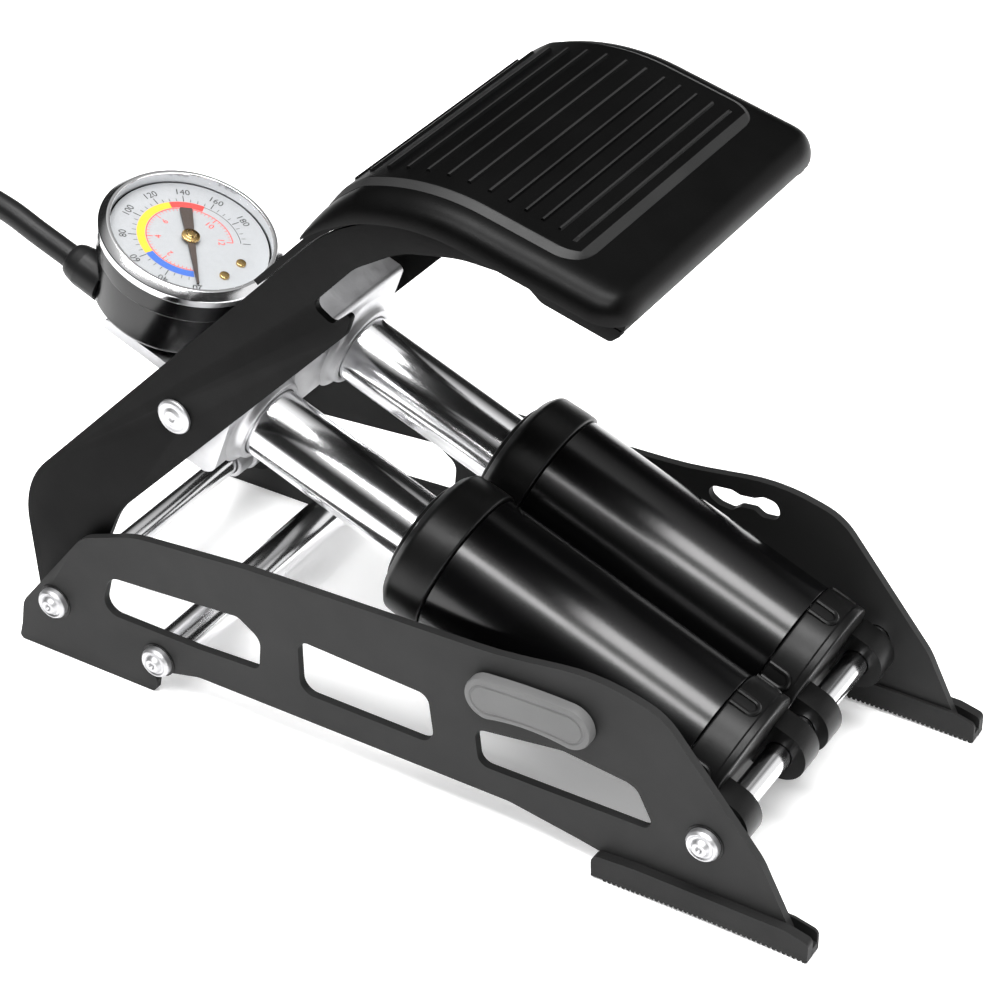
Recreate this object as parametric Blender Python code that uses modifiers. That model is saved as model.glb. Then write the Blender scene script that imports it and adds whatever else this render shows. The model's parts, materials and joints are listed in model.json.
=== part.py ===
"""Twin-barrel foot air pump with a dial gauge: one named object for each piece."""
import math

import bmesh
import bpy
from mathutils import Matrix, Vector

CLEAR = 0.0003

# Side plates, feet and the two pivots of the base.
PLATE_Y = 0.0555
PLATE_T = 0.0026
FOOT_Y = 0.05645
FOOT_T = 0.0071
REAR_PIVOT = Vector((-0.1282, 0.0, 0.0218))
FRONT_PIVOT = Vector((0.1113, 0.0, 0.0276))
REAR_TUBE = Vector((-0.0867, 0.0, 0.0143))
SHAFT_R = 0.0042
TIE_R = 0.0030
SHAFT_HALF = 0.0568
BOLT_R = 0.0053
BOLT_H = 0.0039
BOLT_SEAT = 0.0571

# Pedal arm.
ARM_Y = 0.0510
ARM_T = 0.0022
HEAD_PIVOT = Vector((-0.0734, 0.0, 0.1090))
PIVOT_R = 0.0036
ARCH_VERTEX = (0.00294, 0.20504)
ARCH_R = 0.0582
ARCH_STEP = (-0.3067, 1.1075)
FRONT_SLOPE = math.radians(14.04)
PEDAL_PLATE_HALF = 0.0521
COVER_HALF = 0.0560
PAD_HALF = 0.0500

# Barrels, tubes and head, measured along the tube axis from the front pivot.
TUBE_TILT = math.radians(21.9)
BARREL_Y = 0.0248
BARREL_R = 0.0238
BARREL_BORE = 0.0215
BARREL_LOW = 0.0190
BARREL_TOP = 0.1080
COLLAR_R = 0.0245
TUBE_R = 0.0115
TUBE_BORE = 0.0095
HEAD_FRONT = 0.1875
HEAD_BACK = 0.2106
HEAD_HALF = 0.0440
BORE_R = 0.00742

# Gauge, on the tube frame: across the axis and along it.
GAUGE_W = 0.0228
GAUGE_S = 0.2406
BEZEL_R = 0.0294
DIAL_R = 0.0255
NEEDLE_ZERO = math.radians(-135.0)

# Hose.
HOSE_R = 0.0040
PORT_Y = -0.0166
PORT_DEPTH = 0.0245
COIL_CENTRE = (-0.2244, -0.0620)
COIL_MID_R = 0.0454
COIL_HALF = 0.0095
COIL_TOP = 0.0082
CHUCK_Y = -0.11275
CHUCK_X = -0.1928
CHUCK_Z = 0.0082


def clear_scene():
    for obj in list(bpy.data.objects):
        bpy.data.objects.remove(obj, do_unlink=True)


clear_scene()
pump = bpy.data.collections.new("foot_pump")
bpy.context.scene.collection.children.link(pump)
cutters = bpy.data.collections.new("cutters")
bpy.context.scene.collection.children.link(cutters)


def material(name, colour, roughness, metallic=0.0):
    mat = bpy.data.materials.new(name)
    mat.use_nodes = True
    shader = mat.node_tree.nodes["Principled BSDF"]
    shader.inputs["Base Color"].default_value = (*colour, 1.0)
    shader.inputs["Roughness"].default_value = roughness
    shader.inputs["Metallic"].default_value = metallic
    return mat


PLATE_GREY = material("plate_grey", (0.06, 0.06, 0.06), 0.45)
ARM_BLACK = material("arm_black", (0.03, 0.03, 0.03), 0.45)
GLOSS_BLACK = material("gloss_black", (0.01, 0.01, 0.01), 0.15)
FOOT_BLACK = material("foot_black", (0.02, 0.02, 0.02), 0.55)
CHROME = material("chrome", (0.8, 0.8, 0.8), 0.08, 1.0)
CAST = material("cast_alloy", (0.6, 0.6, 0.6), 0.35, 1.0)
STEEL = material("steel", (0.5, 0.5, 0.5), 0.3, 1.0)
BADGE_GREY = material("badge_grey", (0.25, 0.25, 0.25), 0.4)
DIAL_WHITE = material("dial_white", (0.8, 0.8, 0.8), 0.5)
BRASS = material("brass", (0.7, 0.5, 0.2), 0.25, 1.0)
GLASS = material("clear_lens", (0.9, 0.9, 0.9), 0.05)
SEAL_BLACK = material("seal_rubber", (0.02, 0.02, 0.02), 0.7)


def place(obj, mat, parent=None, location=(0.0, 0.0, 0.0), rotation=(0.0, 0.0, 0.0)):
    if obj.name not in pump.objects:
        pump.objects.link(obj)
    for other in list(obj.users_collection):
        if other is not pump:
            other.objects.unlink(obj)
    obj.parent = parent
    obj.location = location
    obj.rotation_euler = rotation
    obj.data.materials.clear()
    obj.data.materials.append(mat)
    return obj


def frame(name, location, rotation=(0.0, 0.0, 0.0), parent=None):
    empty = bpy.data.objects.new(name, None)
    pump.objects.link(empty)
    empty.parent = parent
    empty.location = location
    empty.rotation_euler = rotation
    return empty


def rounded(corners, step=math.radians(15.0)):
    """Turn (x, y, radius) corners into an outline whose corners are arcs."""
    points = []
    count = len(corners)
    for index, (x, y, radius) in enumerate(corners):
        here = Vector((x, y))
        before = Vector(corners[index - 1][:2]) - here
        after = Vector(corners[(index + 1) % count][:2]) - here
        before.normalize()
        after.normalize()
        opening = before.angle(after)
        turn = math.pi - opening
        if radius <= 0.0 or turn < 0.02:
            points.append(here)
            continue
        centre = here + (before + after).normalized() * radius / math.sin(opening / 2.0)
        first = here + before * radius / math.tan(opening / 2.0) - centre
        side = 1.0 if first.y * before.x - first.x * before.y > 0.0 else -1.0
        parts = max(2, math.ceil(turn / step))
        for part in range(parts + 1):
            angle = side * turn * part / parts
            arm = Vector((first.x * math.cos(angle) - first.y * math.sin(angle),
                          first.x * math.sin(angle) + first.y * math.cos(angle)))
            points.append(centre + arm)
    return points


def circle(x, y, radius, count=28):
    return [Vector((x + radius * math.cos(math.tau * i / count),
                    y + radius * math.sin(math.tau * i / count))) for i in range(count)]


def stadium(x0, y0, x1, y1, radius, count=10):
    heading = math.atan2(y1 - y0, x1 - x0)
    points = []
    for x, y, start in ((x1, y1, heading - math.pi / 2.0), (x0, y0, heading + math.pi / 2.0)):
        for i in range(count + 1):
            angle = start + math.pi * i / count
            points.append(Vector((x + radius * math.cos(angle), y + radius * math.sin(angle))))
    return points


def outline_curve(name, loops, half):
    data = bpy.data.curves.new(name, "CURVE")
    data.dimensions = "2D"
    data.fill_mode = "BOTH"
    data.extrude = half
    for loop in loops:
        spline = data.splines.new("POLY")
        spline.points.add(len(loop) - 1)
        for point, spot in zip(spline.points, loop):
            point.co = (spot.x, spot.y, 0.0, 1.0)
        spline.use_cyclic_u = True
    return bpy.data.objects.new(name, data)


UPRIGHT = (math.pi / 2.0, 0.0, 0.0)


def plate(name, loops, half, y, mat, parent=None, offset=(0.0, 0.0)):
    """A flat outline standing in the X-Z plane of its parent, with its middle at y."""
    obj = outline_curve(name, loops, half)
    return place(obj, mat, parent, (offset[0], y, offset[1]), UPRIGHT)


def as_mesh(obj, merge=0.00001):
    """Replace a curve object with a welded mesh in the same place."""
    bpy.context.view_layer.update()
    graph = bpy.context.evaluated_depsgraph_get()
    data = bpy.data.meshes.new_from_object(obj.evaluated_get(graph))
    edit = bmesh.new()
    edit.from_mesh(data)
    bmesh.ops.remove_doubles(edit, verts=edit.verts, dist=merge)
    edit.to_mesh(data)
    edit.free()
    name = obj.name
    solid = bpy.data.objects.new(name + "_solid", data)
    pump.objects.link(solid)
    solid.parent = obj.parent
    solid.matrix_world = obj.matrix_world
    bpy.data.objects.remove(obj, do_unlink=True)
    solid.name = name
    return solid


def turned(name, profile, mat, parent=None, location=(0.0, 0.0, 0.0),
           rotation=(0.0, 0.0, 0.0), steps=32, ring=False):
    """Turn a (radius, height) profile about local Z; a ring's profile is closed."""
    data = bpy.data.meshes.new(name)
    edit = bmesh.new()
    spots = [edit.verts.new((radius, 0.0, height)) for radius, height in profile]
    for first, second in zip(spots, spots[1:]):
        edit.edges.new((first, second))
    if ring:
        edit.edges.new((spots[-1], spots[0]))
    edit.to_mesh(data)
    edit.free()
    obj = bpy.data.objects.new(name, data)
    screw = obj.modifiers.new("turn", "SCREW")
    screw.steps = steps
    screw.render_steps = steps
    screw.use_merge_vertices = True
    screw.merge_threshold = 0.00005
    screw.use_smooth_shade = True
    return place(obj, mat, parent, location, rotation)


def disc(name, radius, low, high, mat, parent=None, location=(0.0, 0.0, 0.0),
         rotation=(0.0, 0.0, 0.0), steps=32):
    profile = [(0.0, high), (radius, high), (radius, low), (0.0, low)]
    return turned(name, profile, mat, parent, location, rotation, steps)


def sleeve(name, outer, inner, low, high, mat, parent=None, location=(0.0, 0.0, 0.0),
           rotation=(0.0, 0.0, 0.0), steps=32):
    profile = [(outer, high), (outer, low), (inner, low), (inner, high)]
    return turned(name, profile, mat, parent, location, rotation, steps, ring=True)


def box(name, low, high, mat, parent=None):
    data = bpy.data.meshes.new(name)
    edit = bmesh.new()
    bmesh.ops.create_cube(edit, size=1.0)
    size = Vector(high) - Vector(low)
    bmesh.ops.scale(edit, vec=size, verts=edit.verts)
    edit.to_mesh(data)
    edit.free()
    obj = bpy.data.objects.new(name, data)
    return place(obj, mat, parent, (Vector(high) + Vector(low)) / 2.0)


def boolean(obj, tool, operation):
    cut = obj.modifiers.new(operation.lower(), "BOOLEAN")
    cut.operation = operation
    cut.object = tool
    for other in list(tool.users_collection):
        other.objects.unlink(tool)
    cutters.objects.link(tool)
    tool.hide_render = True
    tool.display_type = "WIRE"


# ---------------------------------------------------------------- base

PLATE_OUTLINE = (
    (-0.1466, 0.0000, 0.0016),
    (-0.1444, 0.0070, 0.0030),
    (-0.1426, 0.0165, 0.0100),
    (-0.1135, 0.0522, 0.0150),
    (-0.0920, 0.0604, 0.0400),
    (-0.0480, 0.0645, 0.1200),
    (0.0420, 0.0676, 0.1200),
    (0.0760, 0.0728, 0.0600),
    (0.0970, 0.0670, 0.0200),
    (0.1290, 0.0275, 0.0200),
    (0.1405, 0.0042, 0.0020),
    (0.0960, 0.0042, 0.0200),
    (0.0690, 0.0095, 0.0150),
    (0.0450, 0.0134, 0.0150),
    (-0.0710, 0.0134, 0.0120),
    (-0.0905, 0.0085, 0.0010),
    (-0.0886, 0.0050, 0.0012),
    (-0.0898, 0.0000, 0.0018),
)
REAR_WINDOW = (
    (-0.1040, 0.0406, 0.0060),
    (-0.0528, 0.0446, 0.0040),
    (-0.0446, 0.0388, 0.0050),
    (-0.0460, 0.0264, 0.0030),
    (-0.0700, 0.0252, 0.0200),
    (-0.1085, 0.0254, 0.0050),
)
MIDDLE_WINDOW = (
    (-0.0302, 0.0446, 0.0040),
    (0.0172, 0.0425, 0.0040),
    (0.0190, 0.0240, 0.0050),
    (-0.0306, 0.0242, 0.0050),
)
FRONT_WINDOW = (
    (0.0334, 0.0366, 0.0040),
    (0.0640, 0.0412, 0.0100),
    (0.0884, 0.0384, 0.0060),
    (0.0952, 0.0240, 0.0030),
    (0.0345, 0.0232, 0.0040),
)
for side, sign in (("near", -1.0), ("far", 1.0)):
    holes = [
        circle(REAR_PIVOT.x, REAR_PIVOT.z, SHAFT_R + CLEAR),
        circle(REAR_TUBE.x, REAR_TUBE.z, TIE_R + CLEAR),
        circle(FRONT_PIVOT.x, FRONT_PIVOT.z, SHAFT_R + CLEAR),
    ]
    if side == "far":
        holes.append(stadium(0.0545, 0.0606, 0.0718, 0.0620, 0.0038))
    windows = [rounded(REAR_WINDOW), rounded(MIDDLE_WINDOW), rounded(FRONT_WINDOW)]
    plate("base_plate_" + side, [rounded(PLATE_OUTLINE), *windows, *holes],
          PLATE_T / 2.0, sign * PLATE_Y, PLATE_GREY)

FOOT_OUTLINE = (
    (0.0752, 0.0000, 0.0010),
    (0.0752, 0.0040, 0.0020),
    (0.0900, 0.0088, 0.0150),
    (0.1390, 0.0094, 0.0060),
    (0.1466, 0.0076, 0.0020),
    (0.1466, 0.0000, 0.0010),
)
for side, sign in (("near", -1.0), ("far", 1.0)):
    foot = plate("foot_" + side, [rounded(FOOT_OUTLINE)], FOOT_T / 2.0, sign * FOOT_Y, FOOT_BLACK)
    foot = as_mesh(foot)
    slot_half = PLATE_T / 2.0 + CLEAR
    slot = box("foot_slot_" + side,
               (0.0740, sign * PLATE_Y - slot_half, 0.0037),
               (0.1480, sign * PLATE_Y + slot_half, 0.0200), FOOT_BLACK)
    boolean(foot, slot, "DIFFERENCE")

plate("badge", [stadium(0.0402, 0.0530, 0.0682, 0.0538, 0.0074)], 0.00195, -0.05905,
      BADGE_GREY)

AXIS_Y = (math.pi / 2.0, 0.0, 0.0)
disc("rear_axle", SHAFT_R, -SHAFT_HALF, SHAFT_HALF, STEEL, None, REAR_PIVOT, AXIS_Y, 28)
disc("front_shaft", SHAFT_R, -SHAFT_HALF, SHAFT_HALF, CHROME, None, FRONT_PIVOT, AXIS_Y, 28)
disc("tie_rod", TIE_R, -SHAFT_HALF, SHAFT_HALF, STEEL, None, REAR_TUBE, AXIS_Y, 28)
sleeve("rear_tube", 0.0068, 0.0045, -0.0539, 0.0539, CHROME, None, REAR_TUBE, AXIS_Y)

NEAR = (math.pi / 2.0, 0.0, 0.0)
FAR = (-math.pi / 2.0, 0.0, 0.0)
BOLT_PROFILE = [(0.0, BOLT_H * 0.62), (0.0014, BOLT_H * 0.62), (0.0020, BOLT_H),
                (0.0030, BOLT_H * 0.96), (0.0042, BOLT_H * 0.72), (0.0050, BOLT_H * 0.38),
                (BOLT_R, 0.0), (0.0, 0.0)]
for side, sign, turn in (("near", -1.0, NEAR), ("far", 1.0, FAR)):
    for spot_name, spot in (("rear", REAR_PIVOT), ("tube", REAR_TUBE), ("front", FRONT_PIVOT)):
        turned("bolt_" + spot_name + "_" + side, BOLT_PROFILE, STEEL, None,
               (spot.x, sign * BOLT_SEAT, spot.z), turn, 24)
    sleeve("hinge_washer_" + side, 0.0075, SHAFT_R + CLEAR, 0.0524, 0.0539, STEEL, None,
           REAR_PIVOT, turn, 28)
    bush = [(0.0070, 0.0495), (0.0070, 0.0440), (0.0060, 0.0432), (0.0060, 0.0360),
            (SHAFT_R + CLEAR, 0.0360), (SHAFT_R + CLEAR, 0.0495)]
    turned("axle_bush_" + side, bush, STEEL, None, REAR_PIVOT, turn, 28, ring=True)

# ---------------------------------------------------------------- pedal arm

arm_frame = frame("arm_frame", REAR_PIVOT)
pedal_offset = (-REAR_PIVOT.x, -REAR_PIVOT.z)


def arch(offset, radius=None):
    """The corner of the pedal's arch, moved out by offset."""
    return (ARCH_VERTEX[0] + ARCH_STEP[0] * offset, ARCH_VERTEX[1] + ARCH_STEP[1] * offset,
            ARCH_R + offset if radius is None else radius)


def front_height(x, offset):
    base = ARCH_VERTEX[1] - math.tan(FRONT_SLOPE) * (x - ARCH_VERTEX[0])
    return base + offset / math.cos(FRONT_SLOPE)


def rear_height(x, offset):
    return ARCH_VERTEX[1] + (x - ARCH_VERTEX[0]) + offset * math.sqrt(2.0)


ARM_OUTLINE = (
    (-0.1382, 0.0116, 0.0098),
    (-0.1398, 0.0624, 0.0350),
    arch(0.0),
    (0.0815, front_height(0.0815, 0.0), 0.0012),
    (0.0770, 0.1816, 0.0025),
    (0.0560, 0.1872, 0.0060),
    (0.0500, 0.1925, 0.0050),
    (0.0310, 0.1932, 0.0400),
    (0.0120, 0.1896, 0.0300),
    (-0.0040, 0.1800, 0.0250),
    (-0.0196, 0.1639, 0.0026),
    (-0.0129, 0.1594, 0.0022),
    (-0.0049, 0.1664, 0.0010),
    (-0.0084, 0.1571, 0.0040),
    (-0.1004, 0.0646, 0.0300),
    (-0.1165, 0.0300, 0.0200),
    (-0.1182, 0.0116, 0.0098),
)
for side, sign, turn in (("near", -1.0, NEAR), ("far", 1.0, FAR)):
    holes = [circle(REAR_PIVOT.x, REAR_PIVOT.z, SHAFT_R + CLEAR),
             circle(HEAD_PIVOT.x, HEAD_PIVOT.z, PIVOT_R + CLEAR)]
    plate("arm_plate_" + side, [rounded(ARM_OUTLINE, math.radians(6.0)), *holes],
          ARM_T / 2.0, sign * ARM_Y, ARM_BLACK, arm_frame, pedal_offset)
    pivot_at = HEAD_PIVOT - REAR_PIVOT
    turned("pivot_bolt_" + side,
           [(0.0, 0.0011), (0.0018, 0.0011), (0.0024, 0.0017), (0.0050, 0.0014),
            (0.0060, 0.0), (0.0, 0.0)], STEEL, arm_frame,
           (pivot_at.x, sign * 0.0522, pivot_at.z), turn, 24)
    sleeve("pivot_bush_" + side, 0.0060, PIVOT_R + CLEAR, 0.0443, 0.0496, STEEL, arm_frame,
           pivot_at, turn, 28)
disc("pivot_shaft", PIVOT_R, -0.0519, 0.0519, STEEL, arm_frame, HEAD_PIVOT - REAR_PIVOT,
     AXIS_Y, 28)


def arch_line(offset, rear_x, front_x, step=math.radians(6.0)):
    """Points along the pedal's arch at one offset, from rear to front."""
    vertex = Vector(arch(offset)[:2])
    radius = ARCH_R + offset
    rear_angle = math.radians(135.0)
    front_angle = math.pi / 2.0 - FRONT_SLOPE
    opening = math.pi - (rear_angle - front_angle)
    middle = (rear_angle + front_angle) / 2.0
    towards = Vector((math.cos(middle), math.sin(middle)))
    centre = vertex - towards * radius / math.sin(opening / 2.0)
    points = []
    start = rear_angle
    if rear_x < centre.x + radius * math.cos(rear_angle):
        points.append(Vector((rear_x, rear_height(rear_x, offset))))
    else:
        start = math.acos((rear_x - centre.x) / radius)
    parts = math.ceil((start - front_angle) / step)
    for part in range(parts + 1):
        angle = start + (front_angle - start) * part / parts
        points.append(centre + Vector((math.cos(angle), math.sin(angle))) * radius)
    points.append(Vector((front_x, front_height(front_x, offset))))
    return points


def arch_band(low, high, rear_low, rear_high, front_low, front_high):
    """A band along the pedal's arch between two offsets."""
    return [*arch_line(high, rear_high, front_high), *reversed(arch_line(low, rear_low, front_low))]


plate("pedal_plate", [arch_band(0.0003, 0.0023, -0.0380, -0.0394, 0.0790, 0.0795)],
      PEDAL_PLATE_HALF, 0.0, ARM_BLACK, arm_frame, pedal_offset)
plate("pedal_cover", [arch_band(0.0026, 0.0098, -0.0200, -0.0234, 0.0830, 0.0845)],
      COVER_HALF, 0.0, GLOSS_BLACK, arm_frame, pedal_offset)
plate("pedal_pad", [arch_band(0.0101, 0.0115, -0.0070, -0.0074, 0.0660, 0.0662)],
      PAD_HALF, 0.0, SEAL_BLACK, arm_frame, pedal_offset)

# ---------------------------------------------------------------- barrels

AXIS_TURN = (0.0, TUBE_TILT - math.pi / 2.0, 0.0)
barrel_frame = frame("barrel_frame", FRONT_PIVOT, AXIS_TURN)
head_frame = frame("head_frame", FRONT_PIVOT, AXIS_TURN)

CAP_LOW = 0.0058
CAP_TOP = 0.0187
LUG_R = 0.0090
COLLAR_PROFILE = [(0.0135, 0.1255), (0.0160, 0.1251), (0.0190, 0.1233), (0.0225, 0.1210),
                  (0.0240, 0.1190), (COLLAR_R, 0.1165), (COLLAR_R, 0.1083),
                  (0.0118, 0.1083), (0.0118, 0.1255)]
CAP_PROFILE = [(0.0, CAP_TOP), (0.0239, CAP_TOP), (0.0239, 0.0078), (COLLAR_R, 0.0074),
               (COLLAR_R, 0.0062), (0.0240, CAP_LOW), (0.0, CAP_LOW)]
for side, sign in (("near", -1.0), ("far", 1.0)):
    at = (0.0, sign * BARREL_Y, 0.0)
    sleeve("barrel_" + side, BARREL_R, BARREL_BORE, BARREL_LOW, BARREL_TOP, GLOSS_BLACK,
           barrel_frame, at, steps=48)
    turned("collar_" + side, COLLAR_PROFILE, GLOSS_BLACK, barrel_frame, at, steps=48, ring=True)
    cap = turned("end_cap_" + side, CAP_PROFILE, GLOSS_BLACK, barrel_frame, at, steps=48)
    for number, middle in enumerate((0.0435, 0.0075)):
        lug_shape = [
            (-LUG_R, 0.0100, 0.0), (-LUG_R, -LUG_R, LUG_R), (LUG_R, -LUG_R, LUG_R),
            (LUG_R, 0.0100, 0.0)]
        lug = plate("lug_%s_%d" % (side, number), [rounded(lug_shape, math.radians(12.0))],
                    0.0045, sign * middle, GLOSS_BLACK, barrel_frame)
        lug = as_mesh(lug)
        boolean(cap, lug, "UNION")
    bore = disc("shaft_bore_" + side, SHAFT_R + CLEAR, -0.0300, 0.0300, GLOSS_BLACK,
                barrel_frame, at, AXIS_Y, 28)
    boolean(cap, bore, "DIFFERENCE")

# ---------------------------------------------------------------- head

HEAD_OUTLINE = (
    (-0.0150, HEAD_FRONT, 0.0040),
    (0.0210, HEAD_FRONT, 0.0015),
    (0.0210, 0.2060, 0.0010),
    (0.0190, HEAD_BACK, 0.0020),
    (-0.0150, HEAD_BACK, 0.0030),
)
pivot_across = HEAD_PIVOT - FRONT_PIVOT
PIVOT_W = pivot_across.x * math.sin(TUBE_TILT) + pivot_across.z * math.cos(TUBE_TILT)
PIVOT_S = pivot_across.z * math.sin(TUBE_TILT) - pivot_across.x * math.cos(TUBE_TILT)
plate("head", [rounded(HEAD_OUTLINE), circle(PIVOT_W, PIVOT_S, BORE_R, 36)], HEAD_HALF, 0.0,
      CAST, head_frame)
for side, sign in (("near", -1.0), ("far", 1.0)):
    at = (0.0, sign * BARREL_Y, 0.0)
    sleeve("tube_" + side, TUBE_R, TUBE_BORE, 0.0983, HEAD_FRONT - CLEAR, CHROME, head_frame,
           at, steps=40)
    disc("piston_" + side, 0.0209, 0.0900, 0.0980, CAST, head_frame, at, steps=40)
    disc("piston_seal_" + side, 0.0212, 0.0867, 0.0897, SEAL_BLACK, head_frame, at, steps=40)

# ---------------------------------------------------------------- gauge

box("gauge_bracket", (-0.0135, -0.0220, HEAD_BACK + CLEAR), (-0.0096, 0.0220, 0.2500), CAST,
    head_frame)
gauge_axes = Matrix(((0.0, 0.0, 1.0), (1.0, 0.0, 0.0), (0.0, 1.0, 0.0)))
gauge_frame = frame("gauge_frame", (GAUGE_W, 0.0, GAUGE_S), gauge_axes.to_euler(), head_frame)
turned("gauge_cup", [(0.0, -0.0133), (0.0264, -0.0133), (0.0264, -0.0280), (0.0245, -0.0297),
                     (0.0070, -0.0297), (0.0070, -0.0320), (0.0, -0.0320)], GLOSS_BLACK, gauge_frame, steps=48)
turned("gauge_case", [(0.0, -0.0051), (0.0280, -0.0051), (0.0280, -0.0130), (0.0, -0.0130)],
       GLOSS_BLACK, gauge_frame, steps=48)
turned("bezel", [(0.0262, 0.0), (0.0285, -0.0002), (BEZEL_R, -0.0014), (BEZEL_R, -0.0048),
                 (0.0258, -0.0048), (0.0258, -0.0006)], CHROME, gauge_frame, steps=56, ring=True)
disc("dial", DIAL_R, -0.0048, -0.0040, DIAL_WHITE, gauge_frame, steps=48)
disc("lens", DIAL_R, -0.0013, -0.0005, GLASS, gauge_frame, steps=48)
for number, across in enumerate((-0.0043, 0.0043)):
    disc("dial_screw_%d" % (number + 1), 0.0016, -0.0037, -0.0032, STEEL, gauge_frame,
         (across, -0.0172, 0.0), steps=16)

needle_frame = frame("needle_frame", (0.0, 0.0, 0.0), (0.0, 0.0, -NEEDLE_ZERO), gauge_frame)
NEEDLE_OUTLINE = (
    (-0.0021, -0.0130, 0.0006),
    (0.0021, -0.0130, 0.0006),
    (0.0014, 0.0, 0.0),
    (0.0003, 0.0205, 0.0),
    (-0.0003, 0.0205, 0.0),
    (-0.0014, 0.0, 0.0),
)
place(outline_curve("pointer", [rounded(NEEDLE_OUTLINE)], 0.0003), GLOSS_BLACK, needle_frame,
      (0.0, 0.0, -0.0030))
turned("pointer_cap", [(0.0, -0.0016), (0.0022, -0.0018), (0.0031, -0.0024), (0.0, -0.0024)],
       BRASS, needle_frame, steps=24)

port_frame = frame("port_frame", (GAUGE_W - PORT_DEPTH, PORT_Y, GAUGE_S), (0.0, 0.0, 0.0),
                   head_frame)
port = turned("hose_port", [(0.0, 0.0288), (0.0052, 0.0288), (0.0060, 0.0268), (0.0066, 0.0248),
                            (0.0068, 0.0236), (0.0068, 0.0180), (0.0, 0.0180)], SEAL_BLACK,
              port_frame, steps=28)
saddle = disc("port_saddle", 0.0264 + CLEAR, -0.0400, -0.0100, SEAL_BLACK, gauge_frame, steps=48)
boolean(port, saddle, "DIFFERENCE")

# ---------------------------------------------------------------- hose

axis_up = Vector((-math.cos(TUBE_TILT), 0.0, math.sin(TUBE_TILT)))
axis_across = Vector((math.sin(TUBE_TILT), 0.0, math.cos(TUBE_TILT)))
port_end = FRONT_PIVOT + axis_up * (GAUGE_S + 0.0288 + CLEAR)
port_end += axis_across * (GAUGE_W - PORT_DEPTH)
port_end.y = PORT_Y
LAND_R = 0.0400
LAND_Y = -0.0620
LAND_X = COIL_CENTRE[0] - 0.0400
HOSE_Z = 0.0042


def landing(angle):
    """The last bend, from straight down to flat along -Y."""
    return Vector((LAND_X, LAND_Y + LAND_R * math.cos(angle),
                   HOSE_Z + LAND_R - LAND_R * math.sin(angle)))


ROUTE = [
    port_end,
    port_end + axis_up * 0.0140,
    port_end + axis_up * 0.0290,
    Vector((-0.1870, -0.0168, 0.1412)),
    Vector((-0.2100, -0.0172, 0.1362)),
    Vector((-0.2320, -0.0180, 0.1205)),
    Vector((-0.2490, -0.0192, 0.0975)),
    Vector((-0.2600, -0.0206, 0.0740)),
    landing(math.radians(-12.0)),
    landing(math.radians(10.0)),
    landing(math.radians(32.0)),
    landing(math.radians(54.3)),
]


def smooth_route(route, count):
    """Points at even distances along a smooth curve through the route."""
    ends = [route[0] * 2.0 - route[1], *route, route[-1] * 2.0 - route[-2]]
    fine = []
    for p0, p1, p2, p3 in zip(ends, ends[1:], ends[2:], ends[3:]):
        for step in range(24):
            t = step / 24.0
            fine.append(0.5 * (2.0 * p1 + (p2 - p0) * t + (2.0 * p0 - 5.0 * p1 + 4.0 * p2 - p3) * t * t
                               + (3.0 * p1 - p0 - 3.0 * p2 + p3) * t ** 3))
    fine.append(route[-1])
    reach = [0.0]
    for first, second in zip(fine, fine[1:]):
        reach.append(reach[-1] + (second - first).length)
    points = []
    at = 0
    for number in range(count):
        want = reach[-1] * number / (count - 1)
        while at < len(fine) - 2 and reach[at + 1] < want:
            at += 1
        share = (want - reach[at]) / (reach[at + 1] - reach[at])
        points.append(fine[at].lerp(fine[at + 1], share))
    return points


def tube(name, points, radius, mat):
    data = bpy.data.curves.new(name, "CURVE")
    data.dimensions = "3D"
    data.bevel_depth = radius
    data.bevel_resolution = 3
    data.use_fill_caps = True
    spline = data.splines.new("POLY")
    spline.points.add(len(points) - 1)
    for point, spot in zip(spline.points, points):
        point.co = (*spot, 1.0)
    return place(bpy.data.objects.new(name, data), mat)


tube("hose_tube", smooth_route(ROUTE, 18), HOSE_R, SEAL_BLACK)
INNER = COIL_MID_R - COIL_HALF
OUTER = COIL_MID_R + COIL_HALF
turned("hose_coil", [(INNER + 0.003, COIL_TOP), (OUTER - 0.003, COIL_TOP), (OUTER, COIL_TOP - 0.003),
                     (OUTER, 0.0032), (OUTER - 0.003, 0.0002), (INNER + 0.003, 0.0002),
                     (INNER, 0.0032), (INNER, COIL_TOP - 0.003)], SEAL_BLACK, None,
       (*COIL_CENTRE, 0.0), steps=48, ring=True)

# ---------------------------------------------------------------- chuck

ALONG_X = (0.0, math.pi / 2.0, 0.0)
chuck_frame = frame("chuck_frame", (CHUCK_X, CHUCK_Y, CHUCK_Z), ALONG_X)
turned("hose_ferrule", [(0.0, 0.0100), (0.0060, 0.0100), (0.0060, 0.0010), (0.0050, 0.0),
                        (0.0, 0.0)], STEEL, chuck_frame, steps=24)
chuck = turned("chuck_body", [(0.0, 0.0400), (0.0070, 0.0400), (0.0080, 0.0380), (0.0080, 0.0160),
                              (0.0072, 0.0103), (0.0, 0.0103)], GLOSS_BLACK, chuck_frame, steps=28)
lever_seat = box("lever_seat", (-0.0120, -0.0033, 0.0260), (-0.0026, 0.0033, 0.0420), GLOSS_BLACK,
                 chuck_frame)
boolean(chuck, lever_seat, "DIFFERENCE")
LEVER_PIVOT = (-0.0064, 0.0, 0.0340)
pin_bore = disc("pin_bore", 0.0015, -0.0090, 0.0090, GLOSS_BLACK, chuck_frame, LEVER_PIVOT, AXIS_Y,
                16)
boolean(chuck, pin_bore, "DIFFERENCE")
sleeve("chuck_nose", 0.0062, 0.0040, 0.0403, 0.0470, STEEL, chuck_frame, steps=24)
lever_frame = frame("lever_frame", LEVER_PIVOT, (0.0, 0.0, 0.0), chuck_frame)
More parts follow.
